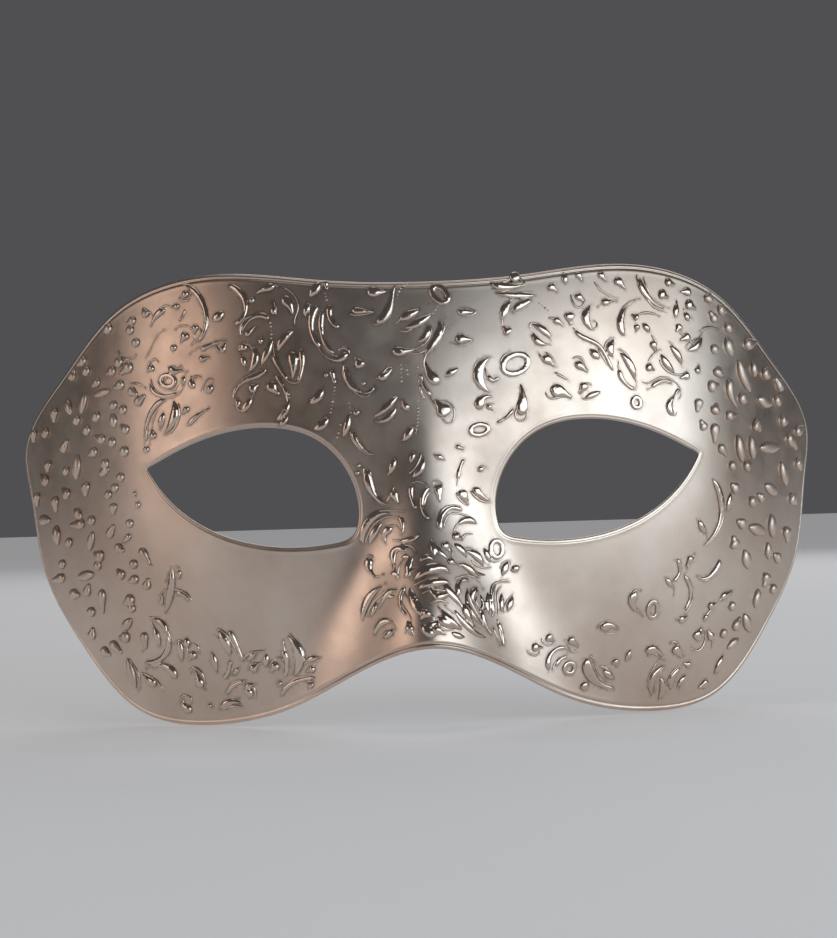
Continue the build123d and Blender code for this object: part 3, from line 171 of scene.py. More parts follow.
# Fine lines that edge and join the strokes, by region. Each row is one line, its points written x,z.
FINE_LINES = {
    "brow_left": """
    -28.4,41.2 -26.6,39.8 -25.6,38 -25.7,36.2 -26.2,34.8 -26.3,33
    -34,40.4 -32.6,41.6 -30.8,41.9 -29.4,41.3
    -30.6,38.8 -30.3,37 -30.3,35.5
    -37.8,31.6 -37.8,33.4 -36.8,35 -35.4,35.6 -34,36.1 -32.4,35.8 -31.2,35
    -30.9,29.6 -30.6,26.8 -29.7,24.2 -28.4,22 -27.2,21.1 -26,21.2 -25.2,23 -24.9,25.4 -25.1,27.6
    -31.2,30.2 -32.2,28.4 -33,26.4 -33.6,25
    -38.4,28.6 -37.4,29.7 -35.9,29.4 -35.1,28.4 -34.9,26.8 -35.3,25 -36.2,23.8
    -39.7,18.3 -39.4,20.2 -38.2,21.8 -36.4,23 -34.4,23.8 -32.4,24.6
    -39.1,18.6 -38.9,17 -38.2,15.8 -37.2,16.4 -36,18 -34.8,19.8
    -30.4,22.4 -29.2,20.6 -28.6,18.8 -28.3,17
    -30.6,13.4 -29.4,13.9 -28.5,15.2 -27.9,16.8
    -30.2,12.2 -28.8,12.9 -28.3,14.2
    -24.1,34.9 -23.6,36.5 -22.9,37.5
    -23.2,33.6 -22.6,31.2 -21.8,29 -20.9,27.2 -19.6,26 -18,25.3
    -20.6,35.6 -20.9,33 -20.8,30.6 -20.2,28.4 -19,26.8 -17.4,26.2 -15.9,26.2
    -19.1,36.4 -19,34.6 -18.2,33.2 -17.2,32.6
    -17.4,27.4 -16.4,28 -15.5,27.6 -15.2,26.6
    -16.4,24.6 -16.5,22.6 -15.9,20.8 -14.8,19.4 -13.6,18.2 -12.2,17.6 -11,18.2
    -11.4,40.2 -9.8,40.6 -8.4,40.2 -6.8,39.4
    -5.2,40.8 -5.8,39 -6.2,37 -7,35.2 -8.2,33.4 -9.6,32.6 -10.2,33.4
    -15,35 -13,34.8 -11,35 -9.8,35.3
    -9.8,21.4 -8.2,22.6 -7,23.6 -6.4,23.4
    -23.6,17.3 -22.4,17.9 -21.4,18.8 -20.9,19.8
    -22.8,11.6 -21.6,12.8 -20.2,13.7 -20,13
    -10.3,13.4 -9.2,14.4 -7.6,15.8 -6.4,17.2 -5.6,17.6
    -10.2,12.6 -8.4,12.4 -7,13.4 -6,14.8
    -4.7,16.6 -4.4,15.2 -3.6,14.6 -2.9,14.9
    -50.4,43.4 -48.4,43 -46.4,40.6 -45.2,38 -44.8,35 -45.6,32.4 -47,30.6
    -51,40.8 -50.2,39.9 -49,39.9 -48.4,41
    -51.2,35.4 -50.2,36.8 -49.8,38
    -52,33.6 -50.8,34.4 -49.2,34.2 -48,33.2 -47.8,31.6 -48.6,30.4
    -46.6,33.8 -46.4,32.4 -47.2,31 -48.4,30.2
    -57.2,37 -55.8,37.8 -54.4,39 -52.8,38.8 -51.2,39.2
    -59,37.4 -57.8,38 -57,37.2
    -58.8,28 -57.6,30 -56.2,32.4 -54,34
    -58.2,25.4 -57.8,27 -56.6,27.6 -55.8,26.4
    -57.6,23.6 -57,21.6 -55.6,20 -53.6,19.2 -51.6,19.8 -50.4,21.2 -49.8,23.4 -49.4,24.8
    -54.6,22.6 -53.6,24 -52,24.8 -50.2,24.6
    -56,22.8 -54.6,21.2 -52.6,20.8 -51.4,22
    -53.8,25.8 -52.4,25.4 -50.8,25.9
    -59.4,9.4 -59.2,12 -58.6,15 -57.2,17.6 -55.4,19 -53.6,19
    -58.2,9.6 -57.8,12 -57.2,14.6 -56.2,16.8
    -51.6,18 -51.4,15.8 -52,13.6 -53.4,11.8 -54.8,11.4
    -54.8,16 -55,14 -55.8,12.4
    -49.4,13.4 -48.2,14.8 -46.6,15.6 -45,16.8
    -48.8,21.4 -48.8,22.6 -47.8,23.4 -46.4,23.2
    -46.2,19.6 -46,21.4 -45,22.6 -43.6,22.4
    -49,28 -47,29.4 -45,30 -42.6,30.6 -41,30.6
    -43.2,30 -42.6,28.6 -41.2,28
    -65,30.4 -63.6,28.4 -62,28.2 -60.8,29
    -62.2,22.8 -60.4,22.6 -58.8,21.6
    """,
    "brow_right": """
    4.3,33 4.6,31.4 3.4,29 1.6,27 0.4,25.4 0.3,23 1,21.2 2.2,20
    -2.6,27.3 -0.8,27.6 0.8,28.6 1.8,30.4 2,32.2
    -3,26.4 -0.6,26.4 1,27
    -5.4,32.6 -3.6,34.4 -2,35.4 -0.4,35.6
    -4.6,31.2 -2.8,31.2 -1,32.8 0.6,34 2.2,34.6
    14.6,41 16.4,40.9 18.2,41.2 19.4,42
    15,39.6 17.4,39 20,38.8 22.6,38.6 24,38.2
    19.8,42.2 21,41.6 21.8,40.4 20.4,40.2 18.4,40.4
    17,31.2 16.9,33.4 17.6,35.4 18.6,37 19.6,37.6 21.2,37.8 23,37.4
    18.4,34.6 19.6,35.6 21.2,36.4 22.8,36.6
    22.6,31 23,32.2 24.4,31.8 25.8,30.4 26.8,29 27.2,28.2
    22.8,29.8 23.6,28.4 25,27.8 26.4,27.6 27.2,27.4
    26.6,33.2 28,33 29.2,32 29.8,31.2
    16.2,23.4 16.4,24.8 17.4,25.8 18.4,26.4
    10.6,21.6 10.7,23.4 11.6,24.6 13,25.2 14.6,25
    10.6,21.4 11.6,19.6 12.6,18.4 13.8,17.8
    12.4,23.6 13,22.2 13.6,20.8 14.4,20.2 15.8,20.6
    11.4,16 12.4,16.6 13.8,16.9
    12.6,15.2 13.6,15.4 14.6,15.3
    -0.2,21.4 0.4,19 1.2,17 2.4,15 3.4,13 4.2,11.8 5.2,11.6 6,12.8 6,14.6 5,16 3.6,16.4 2,16.2
    -0.8,20 -0.6,18.2 0.2,16.8
    20.4,19 20.2,16.8 19.4,14.8 18.8,13.2 19.2,12 20.4,11.8 21.2,13 20.9,15 20.6,17
    14.8,11.6 16.4,12.4 17.8,13.6 18.6,14.6
    25.3,17.6 26.2,16.4 27.8,16.4 29.4,16.6 30.8,15.9
    27,18.8 28.4,18.6 29.4,17.4 30.6,16.2
    27.4,21.8 29,20.8 30.4,20
    32.6,17 33,18.6 34.2,19.4 35.4,18.8
    33.2,16.2 35,16.4 36.8,17.4 37.2,17
    31.8,31.2 33.4,29.4 35.4,28.4 37,27.4 38.4,25.4 39.6,23 40.2,21.8
    37,26.8 38,24.8 39,23
    38.4,25.6 38.5,27.2 39.4,28.6 40.6,29
    41.4,26.6 42.6,26 43.8,24.4 44.4,22.6 45,20.4 45.2,18.6
    41.4,24 41.4,22 42.2,20 43.6,18.6 45.2,17.8
    42,30 41.9,32.4 42.4,34.4 43.6,36 45.2,37 47,37.4
    31.6,38.2 32,36.6 33.2,35.4 34.4,36.4 33.4,37.8
    34.6,34.2 35.2,35.6 36.2,36
    34.4,32.8 35.2,31.6 36,30.8 36.8,31.2 36.4,32.6
    36.8,41 38,39.4 40,38 42,37.6
    37.4,35.6 38.6,36.4 40,37 41.6,36.8
    24.2,25.8 25.4,24.2 26.6,23.4 27.8,22.8
    25.6,26 27,25 27.8,23.6
    31.4,24.6 33,24.8 34,23.6 34.6,22
    8.6,35.4 10,35.4 11.2,34.6 9.8,34 8,34.2
    6,28.4 7.8,27.8 9.6,28.2 10.4,29
    46.4,42.6 47,40 48.2,38 49.6,36 51.4,35 53,34.6
    48,42 48.6,39.8 50,37.6 51.6,36.4 53.4,35.6
    46,33.8 47.8,34.4 49.6,34.3 51.4,33.6
    49,29.6 50,28 50.2,26
    48,24 49.4,25.6 51,26.6
    50.6,24.4 51.8,22.4 53.4,21.4 55.4,21.2 57,22
    46.4,19.6 48.6,19.6 50.8,20.6 53,20.2 54.8,18.8 55.4,17.2 54.4,15.8
    47.6,18 49.4,18.8 51.4,19.4 53.4,19
    55.6,30.4 57.2,29.2 58.6,28 59.8,26.8
    57,27.2 58.4,28.4 60,29.2 61.2,30.6
    60.6,30.6 62.2,31.6 64.2,31.6 65.8,30.8
    53,28.4 54.4,27 55.4,25 55.8,23
    52.8,15 52.6,13.6 53.4,12.4 54.2,13.2
    55.4,37.4 55.2,35.2 54.8,33.6
    56.8,35.6 57.8,34.2 59,33.4
    """,
    "nose": """
    -15.3,10.8 -15,9 -14.2,7.6 -13,6.4 -11.2,5.6
    -12.9,3 -12.8,1 -12.2,-1 -11,-3 -9.4,-4.6 -7.8,-5.4
    -11.6,2.4 -11.4,0.4 -10.8,-1.6 -9.6,-3.2
    -14,-12.2 -13.6,-10 -12.6,-8 -11,-6.4 -9,-5.9 -6.6,-6 -4.6,-6.3
    -13,-12.6 -12.2,-10.6 -11,-8.8 -9.4,-7.6 -7.2,-7.2 -5.6,-8.2 -5.2,-10
    -12,-13 -11.4,-11.6 -10.2,-10 -9.4,-8.8
    -8.8,-12.8 -9.2,-11.2 -8.4,-9.6 -7,-9 -6,-10
    -7.6,-12 -5.8,-12.2 -4,-12.2 -2.4,-11.6
    -12.8,-17.8 -13,-16 -12.2,-15 -11.4,-16
    -11.6,-19.6 -10.4,-19.4 -9.2,-18.8
    -7.6,-18.4 -7.6,-16 -6.8,-14 -5.4,-13.2 -3.8,-13.4 -2.8,-14.8
    -6.6,-20 -6.4,-18 -5.6,-16.4 -4.6,-15.4
    -4.8,-19.4 -4.4,-17.4 -3.6,-15.8
    -14.2,-28.2 -13.8,-25.6 -12.6,-23.4 -11,-21.8 -9.2,-20.8
    -13,-28 -12.2,-25.6 -10.8,-23.8 -9,-22.4 -7.2,-21.8
    -10.8,-26 -9.8,-24.4 -8.4,-22.9
    -6.4,-23.2 -5.8,-25.4 -4.8,-26.8 -4.2,-28
    -5.6,-22 -4.8,-23.8 -3.4,-25.6 -2,-26.6
    -11.4,-30.6 -11,-29 -9.8,-28.2 -8.4,-28.4 -7.4,-29.8
    -10.2,-31.6 -8.8,-30.4 -7.8,-31.4
    -5.6,-31 -4.6,-29.4 -4,-30.6
    2,-9.8 2.2,-7.6 3.2,-6 5,-5.4 7,-5.6
    3.2,-9.6 3.6,-8 5,-7 6.8,-7.2 8.6,-7.8 10,-9
    5.2,-10.8 5.6,-9.6 7,-8.8 8.8,-9.2
    6.4,-12.4 7.6,-11.4 9.2,-11.4
    3.8,-13 4.6,-14.2 4.6,-15.6
    7,-14.4 8.4,-14.2 9.8,-15 10.8,-16.6 12.4,-17.8
    8.4,-16.6 9.6,-17.8 11.2,-18.4 12.8,-18.2
    12.4,-16 13.2,-17.2 14.6,-17
    5.6,-17.6 7.2,-17.8 8.8,-19 10.2,-20.2
    4.8,-20.4 6.6,-19.8 8.6,-20 10,-21 10.8,-22.6
    5,-21.4 5.2,-23.4 6,-25.4 7.2,-27.4 8.6,-29.4 9.6,-30.6
    7.4,-22.2 7.8,-24.4 8.6,-26.4 9.6,-28.2 10.8,-30 12.4,-31.6
    9.4,-24 9.4,-25.8 10.4,-26.8 11.6,-26
    12.4,-28.4 12.6,-26 12.4,-23.6 13,-21.8 14.6,-21.4 16.6,-21.6
    13.6,-28 13.8,-25.6 13.8,-23.4 14.8,-22.2
    15,-27.8 15.4,-26 16.4,-24.6 17.2,-24
    13.4,-28.8 13.8,-30.8 14.2,-32.8 14.8,-34.6
    12.6,-30.6 13.2,-32.4 14,-34.4
    -4,-20 -2.6,-18.4 -0.6,-17.2 1.6,-17 3.4,-18
    -3.6,-21.4 -1.4,-20.2 0.8,-19.8 3,-20.4 4.2,-21.2
    -2,-23 0,-22.2 2.2,-22.4 4.2,-23
    -0.4,-24.8 1.6,-24.4 3.4,-25
    1,-25.4 2.4,-27 4,-28.4 6,-29.8
    2.4,-25.2 3.8,-26.6 5.6,-27.8
    -2.4,-27.6 -1,-27 0.2,-27.8 -0.6,-29
    0.6,-29 1.8,-30 3,-30.4 4.4,-30.2
    14.6,-18.8 15.4,-17.4 16.4,-17 16.8,-18.2
    7.8,3.6 6.8,1.8 6.4,0 6,-1.4
    6,-2.6 6.6,-4.2 8,-5.2 8.4,-4
    9,-2.4 9.8,-3.6 11.2,-4.6 13.2,-5
    -8.4,-4.2 -7.4,-2.6 -6.8,-1.2
    -3.2,-0.6 -2,-0.2 -0.4,-0.8 0.4,-2.2
    -0.8,-5.2 -0.4,-3.6 0.6,-2.4
    1.2,-1.2 1.8,-0.2 2.8,-0.6 3,-2.2 2.6,-4.2
    -3.6,1.4 -2.4,2.6 -1.4,4.2 -1,5.6
    -5.2,8.4 -3.6,9.8 -2.4,11 -1.8,10
    -8,1.2 -7,2.8 -6.6,4.6
    1.4,5.4 2.4,4.6 3.6,4.2
    10.6,1.4 11.4,2.6 12.4,2.4
    """,
    "lobe_left": """
    -45,-31.2 -43.6,-32.6 -42.6,-34.2 -41.8,-35.6
    -44.6,-29.8 -43,-30.6 -42,-32.6 -41.6,-34.6
    -42.6,-30.6 -41.4,-33 -40.4,-35
    -39.4,-36.4 -37.6,-35 -36,-34.6 -34.4,-34.4
    -38.4,-38.6 -37,-37.2 -35.4,-37 -34.2,-36
    -33.6,-38.2 -32.8,-36.6 -31.4,-36 -30.8,-37.4
    -30.6,-32.4 -30.4,-34.6 -30,-36.4 -29.8,-38.4 -30.4,-40
    -29.2,-31 -27.8,-32.8 -27,-34.8 -27.2,-37 -28.2,-39
    -28.8,-33 -28.4,-35 -28.4,-37 -29,-39.4
    -31.2,-43.6 -30,-41.8 -28.4,-40.4 -26.4,-39.9 -24.4,-39.9
    -27,-37.8 -25.6,-36.8 -24,-36.2 -22.8,-35.8
    -26.2,-39 -25,-38.4 -23.8,-37 -23,-36
    -25.6,-42.4 -25.4,-41 -24.2,-41
    -43,-42.8 -41.8,-41.4 -40.2,-40.8 -38.6,-40.6
    -39,-42.4 -37.8,-41.8 -37,-42.8 -37.2,-44.6
    -44.8,-46.8 -43.8,-45.6 -42,-44.8 -40.2,-44.6
    -43.4,-46.8 -41.6,-46.2 -39.8,-46.2
    -59.6,-27.2 -57.4,-27.8 -55.8,-29.6 -55,-32 -55.4,-34.6 -57,-36.4 -59,-37.2 -61,-37
    -59,-28.2 -58,-30.2 -57.4,-32.4 -57.8,-34
    -60.6,-38.4 -58.6,-37.4 -56.6,-37.6 -55,-39
    -61.8,-39.2 -60,-40 -58.4,-41 -57,-43
    -65.2,-36 -63.8,-37.4 -62.6,-39.4 -62.2,-41.6 -62.6,-43.4
    -56.6,-24.8 -56.8,-22.8 -55.8,-21.6 -54.8,-22
    -55.4,-19.6 -54.8,-18 -53.4,-16.8 -52.2,-16.8
    -54.2,-21.4 -52.4,-21.6 -50.8,-22.4 -49.8,-24
    -53.8,-33 -52.8,-32.2 -51.6,-33.4 -51,-35
    -50.4,-33 -49,-33.4 -48.6,-35.2
    -50.6,-39.4 -50,-38 -48.8,-38.6 -47.8,-40.6 -47.6,-42.6
    -53.2,-46 -53.2,-44.4 -52,-44 -50.8,-46
    -61,-31 -60.6,-33 -61.4,-34.6
    -66,-31.8 -65,-30.2 -63.6,-28.4
    -60.2,-13.6 -59.4,-15.2 -58.2,-16.4
    """,
    "lobe_right": """
    19.6,-35.6 20.6,-36.6 21.8,-36.8 22.4,-35.8
    22.9,-33.4 23.6,-34.6 24.8,-35 25.8,-34
    28,-34 28.8,-35.4 29.8,-36.6 30.6,-36.2 30,-34.8
    24.2,-40.4 24.2,-38.4 24.8,-36.6 26.2,-35.6 28,-35.6 28.8,-36.6
    25,-40.2 25.6,-38.8 26.8,-37.8 28.2,-37.6
    27.6,-40.6 27.8,-39.4 29,-38.8 29.8,-39.8 29.4,-41.4
    32,-38.2 32.2,-40.2 33.2,-42 34.8,-43.6 36.6,-44.8 38.8,-45.4
    33.2,-37.6 34.2,-38.6 34.6,-40.4 35.8,-42.2 37.4,-43.6
    35.4,-40 36.6,-40.4 37.8,-41.6 38.6,-43
    35,-32.4 35.4,-31.4 36.8,-30.8 38.4,-31.4 39.6,-32.6
    36.6,-33 38,-33.2 39.4,-33.2
    42.4,-27.4 42.4,-25.8 43.4,-24.4 44.8,-24.4
    43.2,-27.4 44.2,-28.8 45.2,-29.8
    46.4,-37 47.6,-36.4 48.6,-37.4 49.8,-38.6
    46,-38.6 47.4,-38 48.8,-38.8 50,-39.8
    46.2,-45.4 46.4,-43 47.4,-41 49,-39.4
    47.8,-46.6 47.8,-44.4 48.6,-42.4 50,-41
    49.2,-47.8 50.2,-46 50.2,-44
    51.4,-36 52.4,-35.8 53.4,-37 54.4,-39
    50.8,-45.2 51.2,-43.2 52.4,-41.8 54,-41
    53.4,-46.2 54.2,-44.6 55.4,-43
    59.4,-15.6 61.4,-14.4 63,-12.6 64.2,-10.4 64.6,-8 64.2,-5.6
    57.8,-9.6 59.2,-10.6 60.2,-12.4 60.4,-14
    52.6,-18.2 53.8,-19.4 53.6,-21.2 52.6,-22.8
    50.2,-22 51.6,-23.2 52.4,-24.8 52,-26
    55.4,-20.6 56.4,-18.6 57.4,-17
    58,-22 59.8,-23 61.8,-22.2 63.2,-20.6
    55,-21.4 56.2,-23.4 56.8,-25.8 56.2,-28 54.6,-30
    52.8,-31 54,-30.6 55.2,-31
    59.4,-31.8 60.2,-30.2 61.6,-29 62.6,-28
    63,-27.6 64.8,-26.6 66.6,-26
    56.2,-37.4 58,-38 59.4,-36.4 59.4,-34.2
    60.4,-34 61.4,-36.4 61.2,-38
    """,
}
# Broad low smears that fill between the strokes: a width and the points as x and z.
SMEARS = {
    "nose_relief_left": [
        (1.4, [(-7, -14.7), (-5.5, -13.5), (-3.6, -14)]),
        (1.3, [(-5.9, -15.8), (-4.5, -15.4), (-3.2, -16.5)]),
        (1.5, [(-5.5, -19.9), (-4.3, -18.5), (-2.7, -17.6)]),
        (1.2, [(-9.3, -22.6), (-8.2, -23.5), (-6.8, -23.1)]),
        (1.5, [(-5, -28.1), (-4.5, -30.4), (-3.6, -31.7)]),
    ],
    "nose_relief_tip": [
        (2.4, [(-4.3, -21.7), (-3.6, -24.5), (-2.3, -26.5), (-0.2, -27.2)]),
        (2.4, [(0.9, -27.6), (3.2, -29), (5.6, -30.1)]),
        (2.2, [(-2.3, -29), (-0.5, -30.8), (0.9, -31.5)]),
        (1.9, [(-0.5, -21.7), (1.8, -23.5), (3.9, -23.5)]),
        (1.5, [(-2.3, -16.5), (-0.5, -15.6), (0.9, -16.5)]),
        (1.5, [(0.9, -13.1), (2.3, -14.9), (4.3, -16.5)]),
        (1.9, [(-1.4, -30.4), (0, -29), (1.8, -29.5)]),
    ],
    "nose_relief_right": [
        (2.0, [(2.3, -19.9), (3.6, -22.6), (5.5, -24.9), (6.8, -28.3)]),
        (1.8, [(4.5, -26.3), (6.8, -29.5), (9.5, -31.7), (11.6, -32.6)]),
        (1.6, [(7.3, -22.6), (7.7, -26.3), (9.5, -29), (11.1, -30.8)]),
        (1.3, [(10, -23.5), (10.5, -26.3), (9.1, -27.6)]),
        (1.3, [(11.8, -23.1), (11.6, -26.3), (12, -28.5)]),
        (1.8, [(5, -13.1), (6.8, -14.7), (7.7, -16.5)]),
        (1.2, [(7, -17.3), (9.5, -19.3), (12.5, -19.9)]),
        (1.5, [(3.6, -30.8), (5.5, -31.7), (6.8, -32)]),
    ],
}
# Height at which the strokes of a region flatten out, where it isn't the usual one.
FULL_HEIGHTS = {
    "nose_relief_tip": 1.3, "nose_relief_left": 0.95, "nose_relief_right": 0.9, "lobe_relief_left": 1.2,
    "eye_corner_relief_left": 1.2, "temple_relief_left": 1.5, "temple_relief_right": 1.1,
}
# Rows of small dots, written as the fine lines are.
DOT_ROWS = """
    -18.4,19.8 -18.9,17 -19.4,14.6
    -28.2,19.4 -27.9,18
    -31.5,33.9 -31.3,32 -31.4,29.8
    -4.6,24 -4.6,20.6
    -3.6,23.8 -3.3,22
    -5,38 -4.2,40 -2.2,41.4
    -1.2,23.4 -1,20 -0.4,17
    -1.5,16.4 -1.4,13 -2,9.8
    -15.6,16.4 -15.2,14.4
    -19.9,39.6 -19.6,38.2
    2.4,34.6 3.4,36 4.6,37
    -18.2,9.4 -17.4,12
    24.8,36.4 26.6,34.8
"""

# ---------------------------------------------------------------- form and outlines

def form(x, z):
    """How far the face falls back at a place in its front view."""
    reach = x / HALF_WIDTH
    wrap = TEMPLE_DEPTH * ((1 - TEMPLE_SQUARENESS) * reach**2 + TEMPLE_SQUARENESS * reach**4)
    slope = BROW_SLOPE * (z / BROW_LOBE) ** 2
    spread = BRIDGE_SPREAD + NOSE_FLARE * NOSE_RAMP * np.log1p(np.exp((-EYE_LOW - z) / NOSE_RAMP))
    rise = NOSE_RISE / (1 + np.exp((z + NOSE_MID) / NOSE_RAMP))
    return wrap + slope - rise * np.exp(-((x / spread) ** 2))


def front(x, z):
    """The y of the painted surface."""
    return form(x, z) - form(0.0, 0.0) - (WALL + SOFT_GAP + FELT)


def slopes(x, z):
    """How fast the surface falls back along x and along z."""
    step = 0.01
    return (
        (form(x + step, z) - form(x - step, z)) / (2 * step),
        (form(x, z + step) - form(x, z - step)) / (2 * step),
    )


def outward(x, z):
    """The painted surface's own direction, out of the mask."""
    sx, sz = slopes(x, z)
    away = np.stack([sx, -np.ones_like(sx), sz], axis=-1)
    return away / np.linalg.norm(away, axis=-1, keepdims=True)


def raised(x, z, height):
    """Points this high off the painted surface, in millimetres."""
    x, z = np.asarray(x, float), np.asarray(z, float)
    foot = np.stack([x, front(x, z), z], axis=-1)
    return foot + outward(x, z) * np.asarray(height, float)[..., None]


def on_paint(points):
    """Places on the paint along a smooth curve through these points, in metres."""
    path, _ = curve_through(points, fineness=LINE_FINENESS)
    return raised(path[:, 0], path[:, 1], np.zeros(len(path))) * MM


def paths(rows):
    """The points of each row, as (x, z)."""
    return [[tuple(map(float, spot.split(","))) for spot in row.split()] for row in rows.strip().splitlines()]


def curve_through(points, closed=False, fineness=40):
    """Points along a smooth curve through these, this many for each, and its direction at the end."""
    p = np.array(points + points[:1] if closed else points, float)
    t = np.concatenate([[0], np.cumsum(np.linalg.norm(np.diff(p, axis=0), axis=1))])
    h, n = np.diff(t), len(p)
    system, right = np.zeros((n, n)), np.zeros((n, 2))
    gradient = np.diff(p, axis=0) / h[:, None]
    for k in range(1, n - 1):
        system[k, k - 1 : k + 2] = h[k - 1], 2 * (h[k - 1] + h[k]), h[k]
        right[k] = 6 * (gradient[k] - gradient[k - 1])
    if closed:
        system[0, 0], system[0, -1] = 1, -1
        system[-1, 0], system[-1, 1] = 2 * h[0], h[0]
        system[-1, -2], system[-1, -1] = h[-1], 2 * h[-1]
        right[-1] = 6 * (gradient[0] - gradient[-1])
    elif n > 3:
        system[0, :3] = h[1], -(h[0] + h[1]), h[0]
        system[-1, -3:] = h[-1], -(h[-2] + h[-1]), h[-2]
    else:
        system[0, 0] = system[-1, -1] = 1
    bend = np.linalg.solve(system, right)
    run = []
    for k in range(n - 1):
        for u in np.linspace(0, 1, fineness, endpoint=False):
            a, b = (1 - u) * h[k], u * h[k]
            run.append(
                (bend[k] * a**3 + bend[k + 1] * b**3) / (6 * h[k])
                + (p[k] / h[k] - bend[k] * h[k] / 6) * a
                + (p[k + 1] / h[k] - bend[k + 1] * h[k] / 6) * b
            )
    end = gradient[-1] + h[-1] * (bend[-2] + 2 * bend[-1]) / 6
    return np.array(run + ([] if closed else [p[-1]])), end / np.linalg.norm(end)


def even(loop, step, fewest=12):
    """A closed loop with its points spaced evenly, starting where it did."""
    run = np.vstack([loop, loop[:1]])
    along = np.concatenate([[0], np.cumsum(np.linalg.norm(np.diff(run, axis=0), axis=1))])
    count = max(fewest, int(round(along[-1] / step)))
    at = np.linspace(0, along[-1], count, endpoint=False)
    return np.stack([np.interp(at, along, run[:, k]) for k in (0, 1)], axis=1)


def mask_outline():
    """The closed outline of the mask in its front view."""
    left = [(-x, z) for x, z in OUTLINE[-2:0:-1]]
    return curve_through(OUTLINE + left, closed=True)[0]


def eye_outline(side):
    """An eye's closed outline: two smooth edges that meet in a point, and an arc at the inner corner."""
    lower, heading = curve_through(EYE[:4])
    upper, _ = curve_through(EYE[4:] + EYE[:1])
    chord = upper[0] - lower[-1]
    turn = math.atan2(heading[0] * chord[1] - heading[1] * chord[0], heading @ chord)
    radius = np.linalg.norm(chord) / (2 * math.sin(abs(turn)))
    inner = np.array([-heading[1], heading[0]]) * math.copysign(1, turn)
    arc = [
        lower[-1] + radius * (math.sin(a) * heading + (1 - math.cos(a)) * inner)
        for a in np.linspace(0, 2 * abs(turn), ARC_STEPS)[1:-1]
    ]
    return np.vstack([lower, arc, upper[:-1]]) * (side, 1)


def inside(points, loop):
    """Which of these points lie within a closed loop."""
    x, z = points[:, :1], points[:, 1:]
    a, b = loop, np.roll(loop, -1, axis=0)
    spans = (a[:, 1] > z) != (b[:, 1] > z)
    with np.errstate(divide="ignore", invalid="ignore"):
        cross = (b[:, 0] - a[:, 0]) * (z - a[:, 1]) / (b[:, 1] - a[:, 1]) + a[:, 0]
    return (spans & (x < cross)).sum(axis=1) % 2 == 1


def bands(loop, section, hole, upright):
    """Loops of (x, z, height) that follow an edge at the section's distances from it, over the curved face.

    The walls of an upright edge run straight back, and further in they turn to the surface's own direction.
    """
    ahead, behind = np.roll(loop, -1, axis=0), np.roll(loop, 1, axis=0)
    along = ahead - behind
    into = np.stack([-along[:, 1], along[:, 0]], axis=1)
    into /= np.linalg.norm(into, axis=1, keepdims=True)
    area = np.sum(loop[:, 0] * ahead[:, 1] - ahead[:, 0] * loop[:, 1])
    into *= math.copysign(1, area) * (-1 if hole else 1)
    for _ in range(HEADING_ROUNDS):
        into = np.roll(into, 1, axis=0) + 2 * into + np.roll(into, -1, axis=0)
        into /= np.linalg.norm(into, axis=1, keepdims=True)
    sx, sz = slopes(loop[:, 0], loop[:, 1])
    stretch = np.sqrt(1 + (sx * into[:, 0] + sz * into[:, 1]) ** 2)
    away = outward(loop[:, 0], loop[:, 1])
    lean = np.sum(away[:, ::2] * into, axis=1)
    rings = []
    for distance, height in section:
        share = min(max((EDGE_REACH - distance) / EDGE_TURN, 0), 1) if upright else 0
        depth = height * (1 - share * (1 + away[:, 1]))
        place = loop + into * (distance / stretch - share * depth * lean)[:, None]
        rings.append(np.column_stack([place, depth]))
    return rings


def nearest_of(spots):
    """A tree that finds which of these spots is nearest."""
    tree = KDTree(len(spots))
    for index, spot in enumerate(spots):
        tree.insert(spot, index)
    tree.balance()
    return tree


def grid_points(grid, rims, near):
    """Points of an even three-way grid that lie inside the first rim, outside the others and clear of all."""
    xs = np.arange(-HALF_WIDTH, HALF_WIDTH + grid, grid)
    zs = np.arange(-CHEEK_LOBE, BROW_LOBE + grid, grid * math.sqrt(3) / 2)
    spots = np.array([(x + (k % 2) * grid / 2, z) for k, z in enumerate(zs) for x in xs])
    keep = inside(spots, rims[0][0])
    for rim, *_ in rims[1:]:
        keep &= ~inside(spots, rim)
    return [s for s in spots[keep] if near.find((s[0], s[1], 0))[2] > CLEAR_SHARE * grid]


def edge_walls(edges, upright):
    """The points and faces of every edge of a sheet, and its rims.

    A rim is the front loop, the numbers of its first point at the front and at the back, and its length.
    """
    verts, faces, rims = [], [], []
    for loop, section, hole in edges:
        rings = bands(loop, section, hole, upright)
        first, count = len(verts), len(loop)
        for ring in rings:
            verts.extend(ring)
        for k in range(len(rings) - 1):
            for i in range(count):
                j = (i + 1) % count
                a = first + k * count
                faces.append((a + i, a + j, a + count + j, a + count + i))
        rims.append((rings[0][:, :2], first, first + (len(rings) - 1) * count, count))
    return verts, faces, rims


